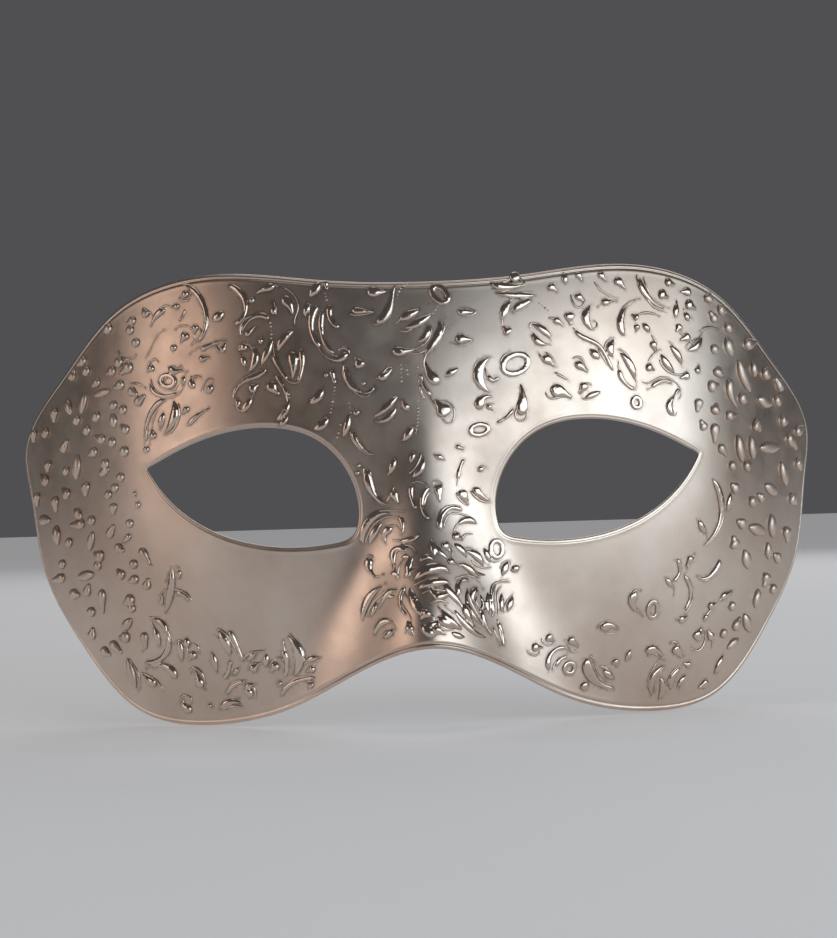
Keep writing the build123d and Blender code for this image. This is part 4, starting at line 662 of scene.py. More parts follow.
def fill_side(verts, faces, rims, spots, height, back):
    """Adds the triangles of one side, from its rims over these spots, which lie at this height."""
    flat, ties, number = [], [], []
    for rim, front_first, back_first, count in rims:
        start = len(flat)
        flat.extend(Vector(p) for p in rim)
        ties.extend((start + i, start + (i + 1) % count) for i in range(count))
        number.extend((back_first if back else front_first) + i for i in range(count))
    flat.extend(Vector(p) for p in spots)
    inside_only, tolerance = 1, 1e-6
    placed, _, triangles, origin, _, _ = delaunay_2d_cdt(flat, ties, [], inside_only, tolerance)
    placed, triangles = np.array([tuple(p) for p in placed]), np.array(triangles)
    middles = placed[triangles].mean(axis=1)
    good = np.ones(len(triangles), bool)
    for rim, *_ in rims[1:]:
        good &= ~inside(middles, rim)
    lookup = []
    for place, sources in zip(placed, origin):
        on_rim = [s for s in sources if s < len(number)]
        lookup.append(number[on_rim[0]] if on_rim else len(verts))
        if not on_rim:
            verts.append(np.array([*place, height]))
    for corners in triangles[good]:
        faces.append([lookup[k] for k in (corners[::-1] if back else corners)])


def sheet_mesh(name, outer, outer_section, holes, hole_section, grid, reshape=None, upright=False):
    """A closed sheet over the form, with shaped edges round its outline and its holes.

    A section runs from the front, over the edge, to the back. reshape gives a new height at (x, z, height).
    """
    edges = [(outer, outer_section, False)] + [(hole, hole_section, True) for hole in holes]
    verts, faces, rims = edge_walls(edges, upright)
    near = nearest_of([(x, z, 0) for rim, *_ in rims for x, z in rim])
    fill_side(verts, faces, rims, grid_points(grid, rims, near), outer_section[0][1], False)
    fill_side(verts, faces, rims, grid_points(grid * BACK_GRID, rims, near), outer_section[-1][1], True)
    table = np.array(verts)
    heights = reshape(*table.T) if reshape else table[:, 2]
    mesh = bpy.data.meshes.new(name)
    mesh.from_pydata((raised(table[:, 0], table[:, 1], heights) * MM).tolist(), [], faces)
    closed = bmesh.new()
    closed.from_mesh(mesh)
    bmesh.ops.recalc_face_normals(closed, faces=closed.faces)
    closed.to_mesh(mesh)
    closed.free()
    mesh.shade_smooth()
    return linked(name, mesh)


# ---------------------------------------------------------------- objects and meshes

def linked(name, data):
    """A new object in the scene."""
    thing = bpy.data.objects.new(name, data)
    bpy.context.scene.collection.objects.link(thing)
    return thing


def converted(maker):
    """The mesh that an object's modifiers make. The object itself goes."""
    depsgraph = bpy.context.evaluated_depsgraph_get()
    mesh = bpy.data.meshes.new_from_object(maker.evaluated_get(depsgraph))
    bpy.data.objects.remove(maker)
    return mesh


def places_of(mesh):
    """The mesh's vertices as rows of x, y and z."""
    places = np.empty(len(mesh.vertices) * 3)
    mesh.vertices.foreach_get("co", places)
    return places.reshape(-1, 3)


def off_paint(places):
    """How high these places stand off the paint, and the direction out of it, both for millimetres."""
    away = outward(places[:, 0], places[:, 2])
    foot = raised(places[:, 0], places[:, 2], np.zeros(len(places)))
    return np.sum((places - foot) * away, axis=1), away


def paint_shade_attribute(piece, shade):
    """Writes the attribute of painted shade: 1 where the painted shade is darkest, 0 where there is none."""
    layer = piece.data.attributes.new("painted_shade", "FLOAT", "POINT")
    layer.data.foreach_set("value", shade)


# ---------------------------------------------------------------- finishes

def feed(tree, node, **inputs):
    """Sets a node's inputs, named as they are but with an underscore for a blank, to sockets or values."""
    for name, value in inputs.items():
        socket = node.inputs[name.replace("_", " ")]
        if isinstance(value, bpy.types.NodeSocket):
            tree.links.new(value, socket)
        else:
            socket.default_value = value


def new_node(tree, kind, **inputs):
    """A new node with these inputs."""
    node = tree.nodes.new(kind)
    feed(tree, node, **inputs)
    return node


def fresh_material(name):
    """A new material, and its tree and principled shader."""
    material = bpy.data.materials.new(name)
    material.use_nodes = True
    tree = material.node_tree
    tree.nodes.clear()
    shader = new_node(tree, "ShaderNodeBsdfPrincipled")
    new_node(tree, "ShaderNodeOutputMaterial", Surface=shader.outputs[0])
    return material, tree, shader


def place_in_metres(tree):
    """The object's own coordinates."""
    node = next((n for n in tree.nodes if n.type == "TEX_COORD"), None)
    return (node or new_node(tree, "ShaderNodeTexCoord")).outputs["Object"]


def noise(tree, scale, detail=2.0, roughness=0.5, distortion=0.0):
    """Noise with this many features to a metre."""
    node = new_node(
        tree, "ShaderNodeTexNoise",
        Vector=place_in_metres(tree), Scale=scale, Detail=detail, Roughness=roughness, Distortion=distortion,
    )
    return node.outputs["Fac"]


def cells(tree, scale, detail=2.0):
    """Distance from the middles of cells, this many to a metre."""
    node = new_node(tree, "ShaderNodeTexVoronoi", Vector=place_in_metres(tree), Scale=scale, Detail=detail)
    return node.outputs["Distance"]


def blended(tree, fac, low, high):
    """Two colours mixed by a factor; each is a socket or a plain colour."""
    node = tree.nodes.new("ShaderNodeMix")
    node.data_type = "RGBA"
    feed(tree, node, Factor=fac)
    for socket, colour in ((node.inputs[6], low), (node.inputs[7], high)):
        if isinstance(colour, bpy.types.NodeSocket):
            tree.links.new(colour, socket)
        else:
            socket.default_value = (*colour, 1)
    return node.outputs[2]


def stretched(tree, fac, given, wanted=(0, 1)):
    """A factor's given range brought to the wanted one, and held there."""
    ranges = {"From_Min": given[0], "From_Max": given[1], "To_Min": wanted[0], "To_Max": wanted[1]}
    return new_node(tree, "ShaderNodeMapRange", Value=fac, **ranges).outputs["Result"]


def bumped(tree, height, distance, strength, over=None):
    """A normal raised by a height of up to this many metres, over another normal if there is one."""
    node = new_node(tree, "ShaderNodeBump", Height=height, Distance=distance, Strength=strength)
    if over is not None:
        feed(tree, node, Normal=over)
    return node.outputs["Normal"]


def reckoned(tree, operation, a, b):
    """A sum or product of two sockets."""
    node = tree.nodes.new("ShaderNodeMath")
    node.operation = operation
    tree.links.new(a, node.inputs[0])
    tree.links.new(b, node.inputs[1])
    return node.outputs[0]


def toned(colour, factor, lift):
    """Another tone of a colour: each part times a factor, plus a lift."""
    return [factor * c + lift for c in colour]


def metal_paint(name, paint, gloss, grain, varnish=0.0, ripple=0.0):
    """Metallic paint: cloudy in tone, finely grained, and darkened by painted shade where the relief stands
    on it.
    """
    material, tree, shader = fresh_material(name)
    clouds = stretched(tree, noise(tree, 28, detail=5, roughness=0.6), (0.35, 0.68))
    flecks = stretched(tree, noise(tree, 3800), (0.35, 0.7), (0, 0.2))
    # painted shade: this attribute darkens the paint beside and under the strokes, as their shade would
    shade = new_node(tree, "ShaderNodeAttribute")
    shade.attribute_name = "painted_shade"
    shade = stretched(tree, shade.outputs["Fac"], (0, 1), (0, 0.7))
    tone = blended(tree, clouds, paint.deep, paint.pale)
    tone = blended(tree, flecks, tone, paint.pale)
    tone = blended(tree, shade, tone, paint.painted_shade)
    wiped = noise(tree, 140, detail=4, roughness=0.65)
    normal = bumped(tree, noise(tree, 90, roughness=0.4), 0.00012, 0.6)
    if ripple:
        normal = bumped(tree, noise(tree, 620, detail=1, roughness=0.4, distortion=0.8), ripple, 0.7, normal)
    feed(
        tree, shader,
        Base_Color=tone,
        Metallic=1.0,
        Roughness=stretched(tree, wiped, (0.3, 0.7), (gloss - 0.05, gloss + 0.07)),
        Coat_Weight=varnish,
        Coat_Roughness=0.04,
        Normal=bumped(tree, noise(tree, 2600, detail=3, roughness=0.6), grain, 0.5, normal),
    )
    return material


def felt_finish(name, colour):
    """Matt felt: dark fibres with a little pale lint."""
    material, tree, shader = fresh_material(name)
    lint = toned(colour, 3.2, 0.01)
    fibres = noise(tree, 1900, detail=6, roughness=0.75, distortion=1.6)
    mottle = noise(tree, 120, detail=3)
    tone = blended(tree, stretched(tree, fibres, (0.4, 0.75), (0, 0.6)), colour, lint)
    feed(
        tree, shader,
        Base_Color=blended(tree, stretched(tree, mottle, (0.4, 0.7), (0, 0.3)), tone, lint),
        Roughness=stretched(tree, fibres, (0.3, 0.7), (0.86, 1.0)),
        Sheen_Weight=0.45,
        Sheen_Roughness=0.6,
        Normal=bumped(tree, fibres, 0.00035, 0.9, bumped(tree, mottle, 0.0004, 0.5)),
    )
    return material


def foam_finish(name, colour):
    """Flocked foam: small cells under a short nap."""
    material, tree, shader = fresh_material(name)
    lint = toned(colour, 3, 0.012)
    pores = cells(tree, 1500)
    nap = noise(tree, 900, detail=5, roughness=0.7)
    feed(
        tree, shader,
        Base_Color=blended(tree, stretched(tree, pores, (0.1, 0.7), (0, 0.7)), colour, lint),
        Roughness=stretched(tree, nap, (0.3, 0.7), (0.8, 0.95)),
        Sheen_Weight=0.25,
        Normal=bumped(tree, pores, 0.00018, 0.7, bumped(tree, nap, 0.0002, 0.6)),
    )
    return material


def plastic_finish(name, colour):
    """Moulded plastic, slightly hazed."""
    material, tree, shader = fresh_material(name)
    scuff = toned(colour, 2.2, 0.02)
    haze = noise(tree, 420, detail=5, roughness=0.65)
    feed(
        tree, shader,
        Base_Color=blended(tree, stretched(tree, haze, (0.45, 0.75), (0, 0.6)), colour, scuff),
        Roughness=stretched(tree, haze, (0.3, 0.7), (0.38, 0.55)),
        Normal=bumped(tree, noise(tree, 3200), 0.00003, 0.5),
    )
    return material


def paper_finish(name, colour, glow):
    """Matt paper that shows somewhat paler than its lamps make it, without lighting what stands on it."""
    material, tree, shader = fresh_material(name)
    mottle = stretched(tree, noise(tree, 6, detail=3), (0.3, 0.7))
    ray = new_node(tree, "ShaderNodeLightPath").outputs
    seen = reckoned(tree, "ADD", ray["Is Camera Ray"], ray["Is Glossy Ray"])
    seen = reckoned(tree, "ADD", seen, ray["Is Transmission Ray"])
    feed(
        tree, shader,
        Base_Color=blended(tree, mottle, toned(colour, 0.97, 0), colour),
        Roughness=0.9,
        Emission_Color=(*colour, 1),
        Emission_Strength=stretched(tree, seen, (0, 1), (0, glow)),
    )
    return material


# ---------------------------------------------------------------- settings

def tint(name, description, default):
    """A colour that a user can change."""
    return bpy.props.FloatVectorProperty(name=name, description=description, subtype="COLOR", default=default)


def amount(name, description, default, **limits):
    """A number that a user can change, with its limits and its unit."""
    return bpy.props.FloatProperty(name=name, description=description, default=default, **limits)


def ratio(name, description, default, low):
    """A number between this low and 1 that a user can change."""
    return amount(name, description, default, min=low, max=1, subtype="FACTOR")


class MaskPaint(bpy.types.PropertyGroup):
    """Colours and gloss of the metallic paint."""

    pale: tint("Pale tone", "Paint where it is clean", (0.75, 0.64, 0.555))
    deep: tint("Deep tone", "Paint where it is thin", (0.6, 0.465, 0.38))
    # colour of the painted shade beside and under the strokes
    painted_shade: tint("Painted shade", "Shade in the grooves", (0.1, 0.07, 0.055))
    shell_gloss: ratio("Shell roughness", "Roughness of the smooth shell", 0.32, low=0.05)
    relief_gloss: ratio("Relief roughness", "Roughness of the raised relief", 0.12, low=0.03)
    temple_gloss: ratio("Temple roughness", "Roughness of the relief at the temples", 0.4, low=0.03)


class MaskShell(bpy.types.PropertyGroup):
    """Mesh sizes of the shell."""

    grid: amount("Grid", "Spacing of the shell's mesh, in millimetres", 0.7, min=0.5, max=5)
    edge_step: amount("Edge step", "Spacing along the edges, in millimetres", 0.55, min=0.2, max=3)
    # width of the painted shade on the shell beside a stroke
    painted_shade_reach: amount("Tarnish reach", "Width of the shade beside a stroke", 0.00035, unit="LENGTH")


class MaskRelief(bpy.types.PropertyGroup):
    """How finely and how deep the relief is laid."""

    voxel: amount("Fineness", "Smallest detail of the paste, in millimetres", 0.17, min=0.1, max=1)
    sink: amount("Sink", "How far the paste sinks into the paint, in millimetres", 0.16, min=0, max=1)
    # height of the painted shade round the foot of each stroke
    foot: amount("Foot", "Height of the dark line round the foot, in millimetres", 0.22, min=0.05)
    swell: amount("Swell", "How much the strokes round out, in millimetres", 0.08, min=0, max=1)
    temple_swell: amount("Temple swell", "The same at the temples, in millimetres", 0.4, min=0, max=1)
    full_height: amount("Full height", "Where the strokes flatten out, in millimetres", 0.8, min=0.1)
    line: amount("Line", "Radius of a fine line", 0.00026, min=0.0001, unit="LENGTH")
    dot: amount("Dot", "Radius of a dot", 0.00022, min=0.0001, unit="LENGTH")
    dot_gap: amount("Dot gap", "From one dot to the next", 0.0007, min=0.0003, unit="LENGTH")


class MaskInside(bpy.types.PropertyGroup):
    """Colours of the pieces inside."""

    felt: tint("Felt", "Colour of the lining", (0.012, 0.012, 0.014))
    foam: tint("Foam", "Colour of the pads", (0.02, 0.02, 0.022))
    lug: tint("Tie lug", "Colour of the tie lugs", (0.03, 0.03, 0.032))


class MaskStage(bpy.types.PropertyGroup):
    """Light and view."""

    backdrop: tint("Backdrop", "Colour behind the mask", (0.08, 0.08, 0.084))
    floor: tint("Floor", "Colour of the floor", (0.85, 0.85, 0.86))
    floor_glow: amount("Floor glow", "How much paler the floor shows than its lamps make it", 0.26, min=0)
    key_power: amount("Key light", "Strength of the large lamp at the right", 2.45, min=0, unit="POWER")
    fill_power: amount("Fill light", "Strength of the warm lamp at the left", 1.0, min=0, unit="POWER")
    floor_power: amount("Floor light", "Strength of the lamps above and behind", 2.6, min=0, unit="POWER")
    view_distance: amount("View distance", "From the mask to the camera", 0.45, unit="LENGTH")


# ---------------------------------------------------------------- operators

def fine_line_paths():
    """Every fine line, as places on the paint."""
    return [on_paint(path) for region in FINE_LINES.values() for path in paths(region)]


def shaded_by_relief(piece, reach):
    """Paints shade on a piece beside the strokes of relief and the fine lines."""
    decimals = 5  # of a metre, which keeps the tree small
    spots = fine_line_paths() + [places_of(NODES[name].data) for name in RELIEF_NODES]
    near = nearest_of(np.unique(np.round(np.vstack(spots), decimals), axis=0))
    paint_shade_attribute(piece, [max(0.0, 1 - near.find(v.co)[2] / reach) for v in piece.data.vertices])


class MASK_OT_shell(bpy.types.Operator):
    """Make the painted shell with its beaded rim and eye lips"""

    bl_idname = "mask.shell"
    bl_label = "Shell"

    def execute(self, context):
        sizes, paint = context.scene.mask_shell, context.scene.mask_paint
        outline = even(mask_outline(), sizes.edge_step)
        eyes = [even(eye_outline(side), sizes.edge_step) for side in (-1, 1)]
        shell = sheet_mesh("painted_shell", outline, RIM, eyes, EYE_LIP, sizes.grid, upright=True)
        shaded_by_relief(shell, sizes.painted_shade_reach)
        shell.data.materials.append(metal_paint("champagne_shell", paint, paint.shell_gloss, grain=0.00001))
        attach(shell, "root")
        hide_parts("mask_shell")
        return {"FINISHED"}


def add_smear(target, width, path):
    """Adds a broad low stroke of paste along a path on the paint, closed and tapered at both ends."""
    path, _ = curve_through(path, fineness=SMEAR_FINENESS)
    foot, away = raised(path[:, 0], path[:, 1], np.zeros(len(path))), outward(path[:, 0], path[:, 1])
    ahead = np.gradient(foot, axis=0)
    across = np.cross(away, ahead / np.linalg.norm(ahead, axis=1, keepdims=True))
    share = np.linspace(*SMEAR_ENDS, len(path))
    half = width / 2 * np.sin(np.pi * share**SMEAR_SKEW)
    rings = []
    for k in range(len(path)):
        ring = []
        for a in np.linspace(0, 2 * math.pi, SMEAR_SIDES, endpoint=False):
            off = math.cos(a) * across[k] + SMEAR_RISE * math.sin(a) * away[k]
            ring.append(target.verts.new((foot[k] + half[k] * off) * MM))
        rings.append(ring)
    for ring, after in zip(rings, rings[1:]):
        for i in range(SMEAR_SIDES):
            j = (i + 1) % SMEAR_SIDES
            target.faces.new((ring[i], ring[j], after[j], after[i]))
    target.faces.new(rings[0][::-1])
    target.faces.new(rings[-1])


def pressed(mesh, full):
    """Flattens the tops of the strokes, so that none stands much higher than this off the paint."""
    places = places_of(mesh)
    height, away = off_paint(places)
    drop = np.where(height > 0, height - full * np.tanh(height / full), 0)
    places -= away * drop[:, None]
    mesh.vertices.foreach_set("co", places.ravel())


def settled_paste(name, voxel, sink, swell, full):
    """The strokes of one region, swollen, run together, sunk into the paint and flattened.

    All but the name is in millimetres.
    """
    merged = bmesh.new()
    merged.from_mesh(NODES[name].data)
    bmesh.ops.remove_doubles(merged, verts=merged.verts, dist=1e-6)
    merged.normal_update()
    for vert in merged.verts:
        vert.co += vert.normal * swell * MM
    for width, path in SMEARS.get(name, ()):
        add_smear(merged, width, path)
    mesh = bpy.data.meshes.new(name)
    merged.to_mesh(mesh)
    merged.free()
    places = places_of(mesh) / MM
    places -= outward(places[:, 0], places[:, 2]) * sink
    mesh.vertices.foreach_set("co", places.ravel())
    rough = linked(name, mesh)
    join = rough.modifiers.new("join", "REMESH")
    join.mode, join.voxel_size = "VOXEL", voxel
    ease = rough.modifiers.new("ease", "SMOOTH")
    ease.factor, ease.iterations = 0.5, 4
    result = converted(rough)
    pressed(result, full)
    result.transform(Matrix.Scale(MM, 4))
    result.shade_smooth()
    return linked(f"paste_{name}", result)


def shaded_at_foot(piece, reach):
    """Paints shade on a piece where it meets the shell, up to this height in millimetres."""
    height, _ = off_paint(places_of(piece.data) / MM)
    paint_shade_attribute(piece, np.clip(1 - height / reach, 0, 1))


class MASK_OT_relief(bpy.types.Operator):
    """Finish the piped relief, region by region"""

    bl_idname = "mask.relief"
    bl_label = "Relief"

    def execute(self, context):
        paint, sizes = context.scene.mask_paint, context.scene.mask_relief
        finish = metal_paint(
            "champagne_relief", paint, paint.relief_gloss, grain=0.000004, varnish=0.7, ripple=0.00012
        )
        satin = metal_paint("champagne_temple_relief", paint, paint.temple_gloss, grain=0.000006, varnish=0.1)
        for name in RELIEF_NODES:
            at_temple = "temple" in name
            swell = sizes.temple_swell if at_temple else sizes.swell
            full = FULL_HEIGHTS.get(name, sizes.full_height)
            piece = settled_paste(name, sizes.voxel, sizes.sink, swell, full)
            shaded_at_foot(piece, sizes.foot)
            piece.data.materials.append(satin if at_temple else finish)
            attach(piece, "root")
            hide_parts(name)
        return {"FINISHED"}


def new_tree(name, *inputs):
    """An empty tree of geometry nodes with these named inputs, its input node and its output node."""
    tree = bpy.data.node_groups.new(name, "GeometryNodeTree")
    tree.interface.new_socket("Geometry", in_out="INPUT", socket_type="NodeSocketGeometry")
    tree.interface.new_socket("Geometry", in_out="OUTPUT", socket_type="NodeSocketGeometry")
    for label, kind, value in inputs:
        socket = tree.interface.new_socket(label, in_out="INPUT", socket_type=f"NodeSocket{kind}")
        if value is not None:
            socket.default_value = value
    return tree, tree.nodes.new("NodeGroupInput"), tree.nodes.new("NodeGroupOutput")


def closing(tree, result, ins, outs):
    """Ends a tree in real geometry that has its material."""
    real = new_node(tree, "GeometryNodeRealizeInstances", Geometry=result)
    painted = new_node(
        tree, "GeometryNodeSetMaterial", Geometry=real.outputs[0], Material=ins.outputs["Material"]
    )
    feed(tree, outs, Geometry=painted.outputs[0])


def piped_line_tree():
    """Lays a round bead along each spline, tapered at both ends."""
    tree, ins, outs = new_tree(
        "piped_line", ("Radius", "Float", 0.0003), ("Step", "Float", 0.0003), ("Material", "Material", None)
    )
    evened = tree.nodes.new("GeometryNodeResampleCurve")
    evened.mode = "LENGTH"
    feed(tree, evened, Curve=ins.outputs["Geometry"], Length=ins.outputs["Step"])
    along = new_node(tree, "GeometryNodeSplineParameter").outputs["Factor"]
    taper = new_node(tree, "ShaderNodeFloatCurve", Value=along)
    curve = taper.mapping.curves[0]
    curve.points[0].location, curve.points[1].location = LINE_TAPER[0], LINE_TAPER[-1]
    for spot in LINE_TAPER[1:-1]:
        curve.points.new(*spot)
    taper.mapping.update()
    own = new_node(tree, "GeometryNodeInputRadius").outputs[0]
    size = reckoned(tree, "MULTIPLY", own, taper.outputs[0])
    size = reckoned(tree, "MULTIPLY", size, ins.outputs["Radius"])
    sized = new_node(tree, "GeometryNodeSetCurveRadius", Curve=evened.outputs[0], Radius=size)
    profile = new_node(tree, "GeometryNodeCurvePrimitiveCircle", Resolution=LINE_SIDES, Radius=1.0)
    tube = new_node(
        tree, "GeometryNodeCurveToMesh",
        Curve=sized.outputs[0], Profile_Curve=profile.outputs[0], Fill_Caps=True,
        Scale=new_node(tree, "GeometryNodeInputRadius").outputs[0],
    )
    closing(tree, tube.outputs[0], ins, outs)
    return tree


def dot_row_tree():
    """Sets a row of small round dots along each spline, of uneven sizes."""
    tree, ins, outs = new_tree(
        "dot_row",
        ("Radius", "Float", 0.0002),
        ("Gap", "Float", 0.0006),
        ("Seed", "Int", 4),
        ("Material", "Material", None),
    )
    points = tree.nodes.new("GeometryNodeCurveToPoints")
    points.mode = "LENGTH"
    feed(tree, points, Curve=ins.outputs["Geometry"], Length=ins.outputs["Gap"])
    dot = new_node(tree, "GeometryNodeMeshIcoSphere", Subdivisions=3, Radius=ins.outputs["Radius"])
    sizes = new_node(tree, "FunctionNodeRandomValue", Seed=ins.outputs["Seed"])
    sizes.inputs[2].default_value, sizes.inputs[3].default_value = DOT_SIZES
    placed = new_node(
        tree, "GeometryNodeInstanceOnPoints",
        Points=points.outputs["Points"], Instance=dot.outputs["Mesh"], Scale=sizes.outputs[1],
    )
    closing(tree, placed.outputs[0], ins, outs)
    return tree


def laid_along(name, routes, tree, **inputs):
    """A plain mesh made by a tree from splines that run through these places."""
    curve = bpy.data.curves.new(name, "CURVE")
    curve.dimensions = "3D"
    for number, route in enumerate(routes):
        spline = curve.splines.new("POLY")
        spline.points.add(len(route) - 1)
        share = THINNEST_LINE + LINE_VARIETY * (number * VARIETY_STEP % 1)
        for point, place in zip(spline.points, route):
            point.co, point.radius = (*place, 1), share
    guide = linked(name, curve)
    maker = guide.modifiers.new("maker", "NODES")
    maker.node_group = tree
    for item in tree.interface.items_tree:
        if item.in_out == "INPUT" and item.name in inputs:
            maker[item.identifier] = inputs[item.name]
    mesh = converted(guide)
    mesh.materials.clear()
    mesh.materials.append(inputs["Material"])
    mesh.polygons.foreach_set("material_index", np.zeros(len(mesh.polygons), dtype=np.int32))
    mesh.shade_smooth()
    return linked(name, mesh)


class MASK_OT_fine_lines(bpy.types.Operator):
    """Lay the fine lines and the rows of dots between the strokes"""

    bl_idname = "mask.fine_lines"
    bl_label = "Fine lines"

    def execute(self, context):
        sizes, finish = context.scene.mask_relief, bpy.data.materials["champagne_relief"]
        lines = laid_along(
            "fine_lines", fine_line_paths(), piped_line_tree(),
            Radius=sizes.line, Step=sizes.line, Material=finish,
        )
        dots = laid_along(
            "dot_rows", [on_paint(path) for path in paths(DOT_ROWS)], dot_row_tree(),
            Radius=sizes.dot, Gap=sizes.dot_gap, Seed=7, Material=finish,
        )
        for piece in (lines, dots):
            shaded_at_foot(piece, LINE_FOOT_SHADE)
            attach(piece, "root")
        return {"FINISHED"}


def inset(loop, hole):
    """The felt's edge beside an edge of the shell."""
    return even(bands(loop, [(FELT_INSET, 0)], hole, False)[0][:, :2], FELT_STEP)


def rippled(x, z, height):
    """Slow low waves, as in felt that is laid by hand."""
    return height + FELT_WAVE * np.sin(x * 0.21 + 0.3 * z) * np.sin(z * 0.33 - 0.1 * x)


class MASK_OT_lining(bpy.types.Operator):
    """Make the felt lining"""

    bl_idname = "mask.lining"
    bl_label = "Lining"

    def execute(self, context):
        outline = inset(mask_outline(), False)
        holes = [inset(eye_outline(side), True) for side in (-1, 1)]
        turn = np.linspace(0, 2 * math.pi, LUG_HOLE_STEPS, endpoint=False)
        for side in (-1, 1):
            hole = np.stack([np.cos(turn), np.sin(turn)], axis=1) * LUG_CLEARANCE
            holes.append(hole + (side * LUG_PLACE[0], LUG_PLACE[1]))
        lining = sheet_mesh("felt_lining", outline, FELT_EDGE, holes, FELT_EDGE, FELT_GRID, rippled)
        lining.data.materials.append(felt_finish("black_felt", context.scene.mask_inside.felt))
        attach(lining, "root")
        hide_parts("lining")
        return {"FINISHED"}


def pad_outline(x, z, length, width, lean):
    """A bar with round ends, centred at (x, z) and leaning this many degrees."""
    radius, reach = width / 2, (length - width) / 2
    turn = np.linspace(-math.pi / 2, math.pi / 2, PAD_END_STEPS)
    end = np.stack([reach + radius * np.cos(turn), radius * np.sin(turn)], axis=1)
    lean = math.radians(lean)
    spin = np.array([[math.cos(lean), math.sin(lean)], [-math.sin(lean), math.cos(lean)]])
    return np.vstack([end, -end]) @ spin + (x, z)


def crown(x, z, length, width, lean):
    """What reshapes the face of such a bar into a low crown."""
    along = np.array([math.cos(math.radians(lean)), math.sin(math.radians(lean))])
    half, reach = width / 2, (length - width) / 2

    def crowned(px, pz, height):
        away = np.stack([px - x, pz - z], axis=1)
        ahead = np.clip(away @ along, -reach, reach)
        inwards = 1 - np.linalg.norm(away - ahead[:, None] * along, axis=1) / half
        rise = PAD_CROWN * np.sin(np.clip(inwards, 0, 1) * math.pi / 2)
        return np.where(height < PAD_FACE, height - rise, height)

    return crowned


class MASK_OT_pads(bpy.types.Operator):
    """Make the foam pads, crowned towards the face"""

    bl_idname = "mask.pads"
    bl_label = "Pads"

    def execute(self, context):
        finish = foam_finish("black_foam", context.scene.mask_inside.foam)
        for node, bar in PADS.items():
            outline = even(pad_outline(*bar), PAD_STEP)
            pad = sheet_mesh(f"foam_{node}", outline, PAD_EDGE, [], None, PAD_GRID, crown(*bar))
            pad.data.materials.append(finish)
            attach(pad, "root")
            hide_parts(node)
        return {"FINISHED"}


class MASK_OT_lugs(bpy.types.Operator):
    """Finish the tie lugs"""

    bl_idname = "mask.lugs"
    bl_label = "Tie lugs"

    def execute(self, context):
        finish = plastic_finish("lug_plastic", context.scene.mask_inside.lug)
        for name in LUG_NODES:
            NODES[name].data.materials.clear()
            NODES[name].data.materials.append(finish)
        return {"FINISHED"}


def lay_floor(stage):
    """A plain floor just under the mask."""
    reach, level = 6.0, CAD_LOW.z - 0.0004
    corners = [(-reach, -reach, level), (reach, -reach, level), (reach, reach, level), (-reach, reach, level)]
    mesh = bpy.data.meshes.new("floor")
    mesh.from_pydata(corners, [], [(0, 1, 2, 3)])
    mesh.materials.append(paper_finish("floor_paper", stage.floor, stage.floor_glow))
    floor = linked("floor", mesh)


def paint_backdrop(scene, colour):
    """An even colour all round."""
    world = bpy.data.worlds.new("studio")
    scene.world = world
    world.use_nodes = True
    tree = world.node_tree
    tree.nodes.clear()
    plain = new_node(tree, "ShaderNodeBackground", Color=(*colour, 1), Strength=1.0)
    new_node(tree, "ShaderNodeOutputWorld", Surface=plain.outputs[0])


def hang_lamps(stage):
    """Soft lamps: each one's place from the mask's middle, two sides, spread in degrees, power and colour."""
    middle = (CAD_LOW + CAD_HIGH) / 2
    for name, place, wide, tall, spread, power, colour in (
        ("key", (0.65, -0.64, 0.18), 1.4, 0.42, 130, stage.key_power, (0.79, 0.915, 1.0)),
        ("fill_left", (-0.95, -0.42, 0.24), 0.55, 0.5, 180, stage.fill_power, (1.0, 0.79, 0.68)),
        ("top", (0.0, 0.1, 1.2), 0.8, 0.8, 180, stage.floor_power * 0.5, (1, 1, 1)),
        ("back", (0.3, 1.1, 0.7), 1.0, 0.8, 180, stage.floor_power, (1, 1, 1)),
    ):
        lamp = bpy.data.lights.new(name, "AREA")
        lamp.shape, lamp.size, lamp.size_y = "RECTANGLE", wide, tall
        lamp.energy, lamp.color, lamp.spread = power, colour, math.radians(spread)
        holder = linked(name, lamp)
        holder.location = middle + Vector(place)
        holder.rotation_euler = (-Vector(place)).to_track_quat("-Z", "Y").to_euler()


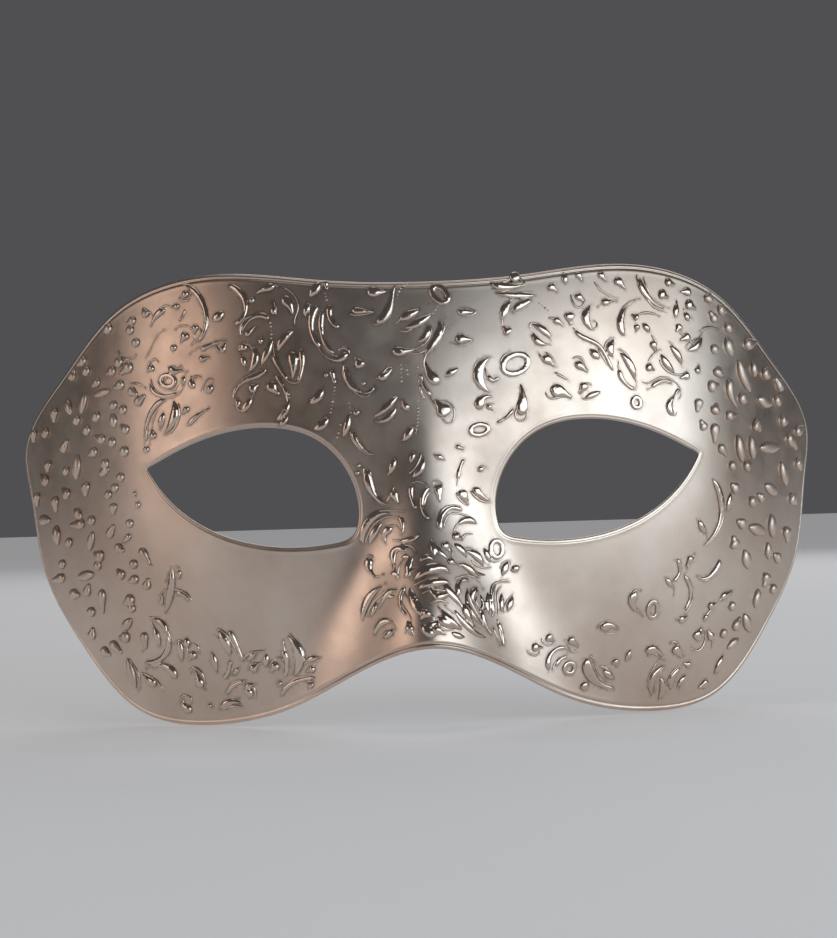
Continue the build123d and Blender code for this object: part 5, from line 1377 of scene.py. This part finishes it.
def set_camera(scene, distance):
    """A camera this far from the place that it is aimed at, in metres."""
    turn, tilt, roll = (math.radians(a) for a in (VIEW_TURN, VIEW_TILT, VIEW_ROLL))
    toward = Vector((math.sin(turn) * math.cos(tilt), -math.cos(turn) * math.cos(tilt), math.sin(tilt)))
    level_right = (-toward).cross(Vector((0, 0, 1))).normalized()
    level_up = level_right.cross(-toward)
    right = math.cos(roll) * level_right + math.sin(roll) * level_up
    up = -math.sin(roll) * level_right + math.cos(roll) * level_up
    lens = bpy.data.cameras.new("camera")
    lens.sensor_fit, lens.sensor_width, lens.lens = "HORIZONTAL", SENSOR, LENS
    lens.clip_start = 0.01
    camera = linked("camera", lens)
    turned = Matrix((right, up, toward)).transposed().to_4x4()
    camera.matrix_world = Matrix.Translation(Vector(VIEW_AIM) * MM + toward * distance) @ turned
    scene.camera = camera


class MASK_OT_stage(bpy.types.Operator):
    """Set the floor, the lamps and the camera"""

    bl_idname = "mask.stage"
    bl_label = "Stage"

    def execute(self, context):
        stage = context.scene.mask_stage
        lay_floor(stage)
        paint_backdrop(context.scene, stage.backdrop)
        hang_lamps(stage)
        set_camera(context.scene, stage.view_distance)
        context.scene.view_settings.view_transform = "Standard"
        return {"FINISHED"}


class MASK_PT_panel(bpy.types.Panel):
    """Lists the mask's pieces and the stage"""

    bl_label = "Masquerade mask"
    bl_space_type = "VIEW_3D"
    bl_region_type = "UI"
    bl_category = "Mask"

    def draw(self, context):
        for operator in OPERATORS:
            self.layout.operator(operator.bl_idname)


OPERATORS = (
    MASK_OT_shell,
    MASK_OT_relief,
    MASK_OT_fine_lines,
    MASK_OT_lining,
    MASK_OT_pads,
    MASK_OT_lugs,
    MASK_OT_stage,
)
SETTINGS = {
    "mask_paint": MaskPaint,
    "mask_shell": MaskShell,
    "mask_relief": MaskRelief,
    "mask_inside": MaskInside,
    "mask_stage": MaskStage,
}
CLASSES = (*SETTINGS.values(), *OPERATORS, MASK_PT_panel)


def register():
    for cls in CLASSES:
        bpy.utils.register_class(cls)
    for name, group in SETTINGS.items():
        setattr(bpy.types.Scene, name, bpy.props.PointerProperty(type=group))


def unregister():
    for name in SETTINGS:
        delattr(bpy.types.Scene, name)
    for cls in reversed(CLASSES):
        bpy.utils.unregister_class(cls)


def main():
    register()
    bpy.ops.mask.shell()
    bpy.ops.mask.relief()
    bpy.ops.mask.fine_lines()
    bpy.ops.mask.lining()
    bpy.ops.mask.pads()
    bpy.ops.mask.lugs()
    bpy.ops.mask.stage()


if __name__ == "__main__":
    main()
